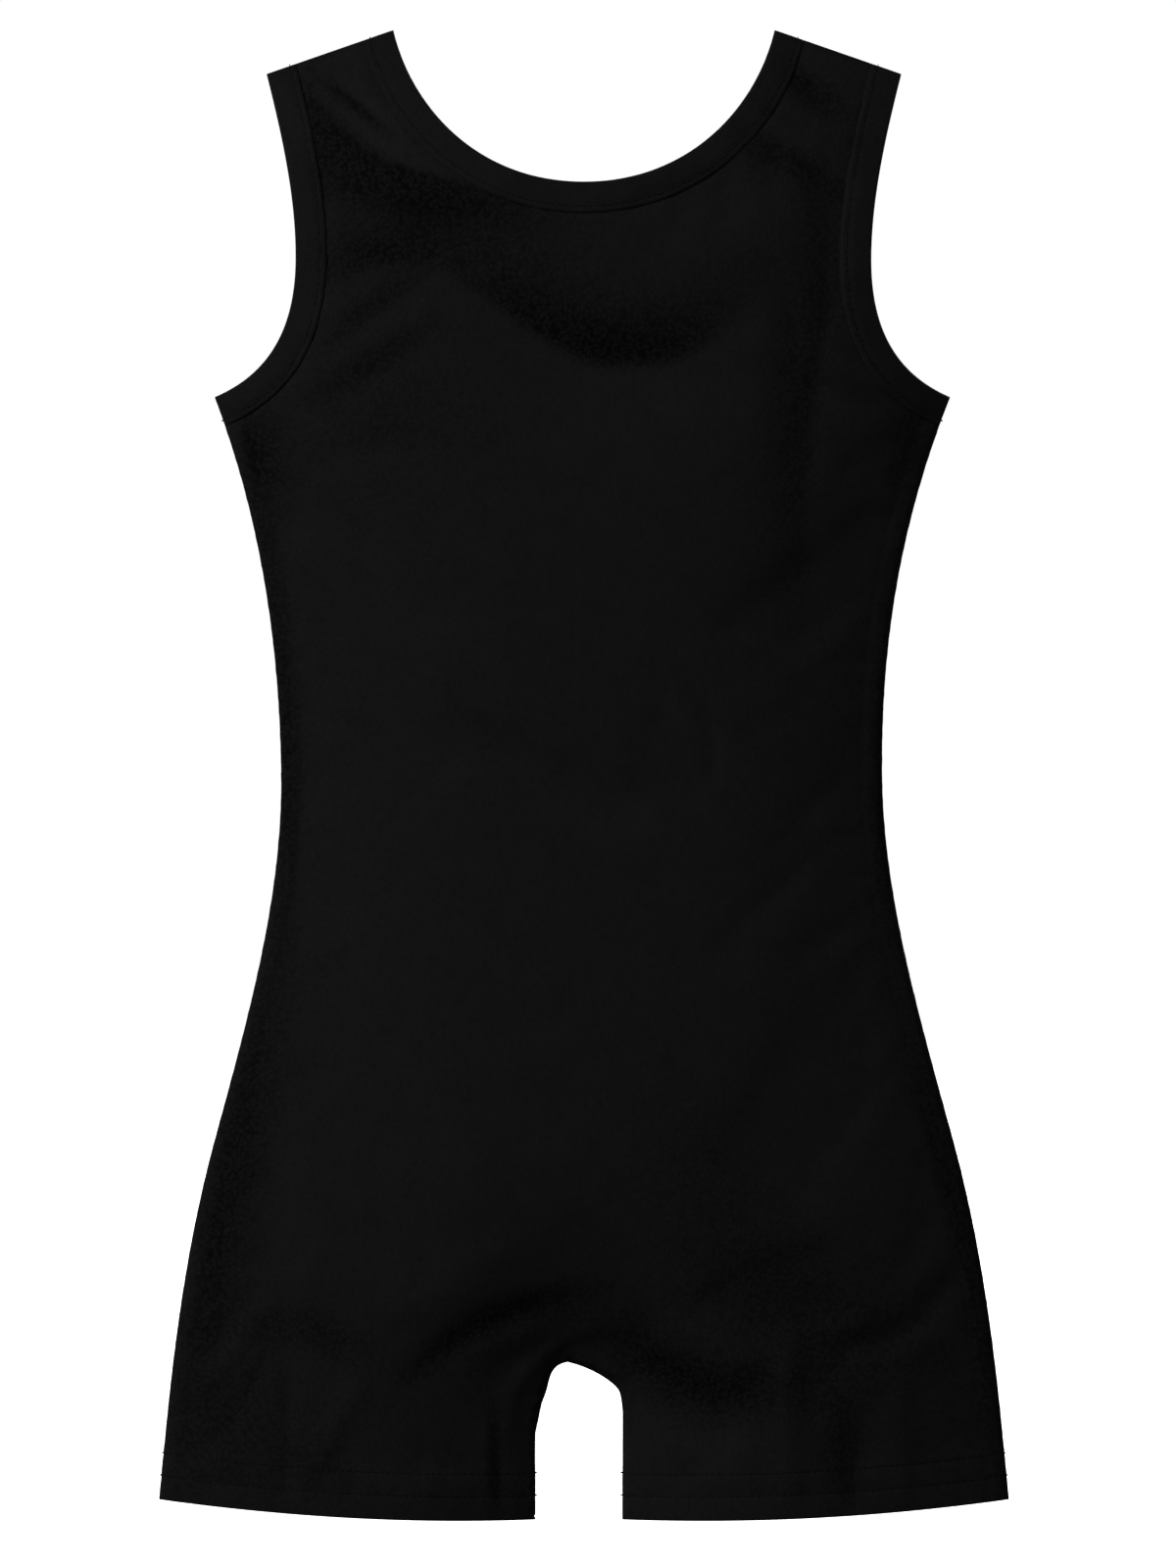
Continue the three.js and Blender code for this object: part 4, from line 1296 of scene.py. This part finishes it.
side_path = EDGES["side"][0]
for hand in ("left", "right"):
    low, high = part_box(f"side_overlock_{hand}")
    kept = side_path[(side_path[:, 1] > low.z) & (side_path[:, 1] < high.z + UP_TO_BINDING)]
    overlock(f"side_overlock_{hand}", kept, -1, 9.5 * MM, hand == "right")
    low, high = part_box(f"shoulder_overlock_{hand}")
    ends = sorted((abs(low.x), abs(high.x)))
    kept = evenly([(x, (NECK_WIDTH / 2 - x) * SHOULDER_PITCH) for x in ends], MM)
    overlock(f"shoulder_overlock_{hand}", kept, -1, 3.4 * MM, hand == "right")
low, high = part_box("inseam_overlock")
inseam_path = EDGES["inseam"][0]
kept = inseam_path[inseam_path[:, 1] > low.z]
overlock("inseam_overlock", kept, -1, 5.0 * MM)

# %% [markdown]
# Three small pieces are sewn in as well: a narrow tape that stops each shoulder seam stretching, a
# soft lining over the crotch seam, and a blank satin label folded into the left side seam.

# %% Stay tapes, linings and label
for hand in ("left", "right"):
    low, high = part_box(f"shoulder_stay_tape_{hand}")
    ends = sorted((abs(low.x), abs(high.x)))
    path = evenly([(x, (NECK_WIDTH / 2 - x) * SHOULDER_PITCH) for x in ends], MM)
    turn = -1
    if hand == "right":
        path, turn = path * [-1, 1], 1
    tape = plane_strip(f"shoulder_tape_{hand}", path, turn, 4 * MM, 5.6 * MM, 0.4 * MM,
                       elastic_tape, depth=-1.1 * MM)
    hang(tape, f"shoulder_stay_tape_{hand}")

for side in ("front", "back"):
    low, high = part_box(f"crotch_lining_{side}")
    columns, rows = 41, 36
    x = np.linspace(low.x * 0.985, high.x * 0.985, columns)
    middle = -CROTCH_DROP + CROTCH_ARCH / 2
    reach = 50 * MM * np.sqrt(np.maximum(0, 1 - (x / (42 * MM)) ** 2))
    arch = CROTCH_ARCH * (1 - np.sqrt(np.maximum(0, 1 - (x / (LEG_GAP / 2)) ** 2)))
    within_gap = np.abs(x) < LEG_GAP / 2
    bottom = np.where(within_gap, -CROTCH_DROP - arch + 1.5 * MM, middle - reach)
    bottom = np.maximum(bottom, middle - reach)
    top = np.maximum(middle + reach, bottom + 0.4 * MM)
    share = np.linspace(0, 1, rows)[:, None]
    z = bottom + (top - bottom) * share
    x = np.broadcast_to(x, z.shape)
    points = on_cloth(side, x.ravel(), z.ravel(), np.full(x.size, -0.75 * MM))
    faces = faces_of_grid(rows, columns)
    if side == "back":
        faces = faces[:, ::-1]
    flat = np.c_[x.ravel(), z.ravel()]
    lining = cloth_piece(f"{side}_crotch_lining", points, faces, flat, 0.5 * MM, lining_jersey)
    hang(lining, f"crotch_lining_{side}")
    width, height = high.x - low.x, high.z - low.z
    area = min(float(((top - bottom).mean()) * width), width * height)

low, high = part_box("care_label")
far, near, half = high.x, low.x, 0.32 * MM
bend = [(near + half - half * math.sin(t), half * math.cos(t)) for t in np.linspace(0, math.pi, 7)]
section = [(x, half) for x in np.linspace(far, near + half, 9)[:-1]] + bend
section += [(x, -half) for x in np.linspace(near + half, far, 9)[1:]]
levels = np.linspace(low.z, high.z, 10)
curl = [1.4 * MM * ((far - x) / (far - near)) ** 2 for x, _ in section]
points = np.array([(x, y + bent, z) for (x, y), bent in zip(section, curl) for z in levels])
along = np.r_[0, np.cumsum(np.hypot(*np.diff(section, axis=0).T))]
grain = np.array([(a, z) for a in along for z in levels])
faces = faces_of_grid(len(section), len(levels))
label = cloth_piece("blank_label", laid(points), faces, grain, 0.25 * MM, label_satin)
hang(label, "care_label")
print("tapes, linings and label are in")

# %% [markdown]
# The garment hangs in front of nothing but white, over a pale floor. A large soft light from the
# upper left models the folds and a weak one fills from the right, and a second pair does the same
# for the back. The white around it is mostly for the eye: it lights the cloth only weakly, because
# on a black cloth what is seen is the difference between the flanks of its folds.

# %% Floor, light and camera
floor_mesh = bpy.data.meshes.new("floor")
reach, level = 5.0, -0.66
corners = [(-reach, -reach, level), (reach, -reach, level), (reach, reach, level), (-reach, reach, level)]
floor_mesh.from_pydata(corners, [], [(0, 1, 2, 3)])
floor = bpy.data.objects.new("floor", floor_mesh)
bpy.context.collection.objects.link(floor)
pale = Maker("pale_floor")
place = pale.node("ShaderNodeTexCoord", {}, {}, 3)
grey = pale.node("ShaderNodeTexNoise", {}, {"Vector": place, "Scale": 3.0, "Detail": 2.0})
colour = pale.blend(grey, (0.9, 0.9, 0.9, 1), (0.93, 0.93, 0.93, 1))
floor_mesh.materials.append(pale.finish({
    "Base Color": colour, "Roughness": 0.9, "Specular IOR Level": 0.1,
    "Emission Color": (1, 1, 1, 1), "Emission Strength": 0.88,
}))
floor.visible_diffuse = floor.visible_glossy = False
floor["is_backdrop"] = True

world = bpy.data.worlds.new("studio")
bpy.context.scene.world = world
world.use_nodes = True
sky = world.node_tree
seen = sky.nodes["Background"]
seen.inputs["Color"].default_value = (1, 1, 1, 1)
glow = sky.nodes.new("ShaderNodeBackground")
glow.inputs["Color"].default_value = (1, 1, 1, 1)
glow.inputs["Strength"].default_value = 0.12
either = sky.nodes.new("ShaderNodeMixShader")
sky.links.new(sky.nodes.new("ShaderNodeLightPath").outputs["Is Camera Ray"], either.inputs[0])
sky.links.new(glow.outputs[0], either.inputs[1])
sky.links.new(seen.outputs[0], either.inputs[2])
sky.links.new(either.outputs[0], sky.nodes["World Output"].inputs["Surface"])


def soft_light(name, place, target, size, watts):
    data = bpy.data.lights.new(name, "AREA")
    data.shape, data.size, data.energy = "DISK", size, watts
    light = bpy.data.objects.new(name, data)
    light.location = place
    light.rotation_euler = (Vector(target) - Vector(place)).to_track_quat("-Z", "Y").to_euler()
    bpy.context.collection.objects.link(light)
    return light


MIDDLE = (0, 0, -BODY_LENGTH / 2)
soft_light("key", (-2.1, -2.0, 0.95), MIDDLE, 0.8, 86)
soft_light("fill", (2.6, -0.8, 0.2), MIDDLE, 1.2, 11.5)
soft_light("back_key", (1.7, 2.2, 1.3), MIDDLE, 0.8, 130)
soft_light("back_fill", (-2.4, 1.2, 0.2), MIDDLE, 1.2, 14)

lens = bpy.data.cameras.new("camera")
lens.lens, lens.sensor_width, lens.sensor_fit = 100, 36, "AUTO"
lens.clip_start = 0.05
camera = bpy.data.objects.new("camera", lens)
camera.location = (0.0016, -1.753, -0.3034)
camera.rotation_euler = (math.pi / 2, 0, 0)
bpy.context.collection.objects.link(camera)
bpy.context.scene.camera = camera
bpy.context.scene.view_settings.view_transform = "Standard"
print("camera is", round(-camera.location.y, 2), "m away")

# %% Compare the sizes and finish
seen_low, seen_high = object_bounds()
sizes = {"cad": cad_box, "visual": [list(seen_low), list(seen_high)]}
for name, (low, high) in sizes.items():
    print(name, [round((b - a) / MM, 1) for a, b in zip(low, high)])
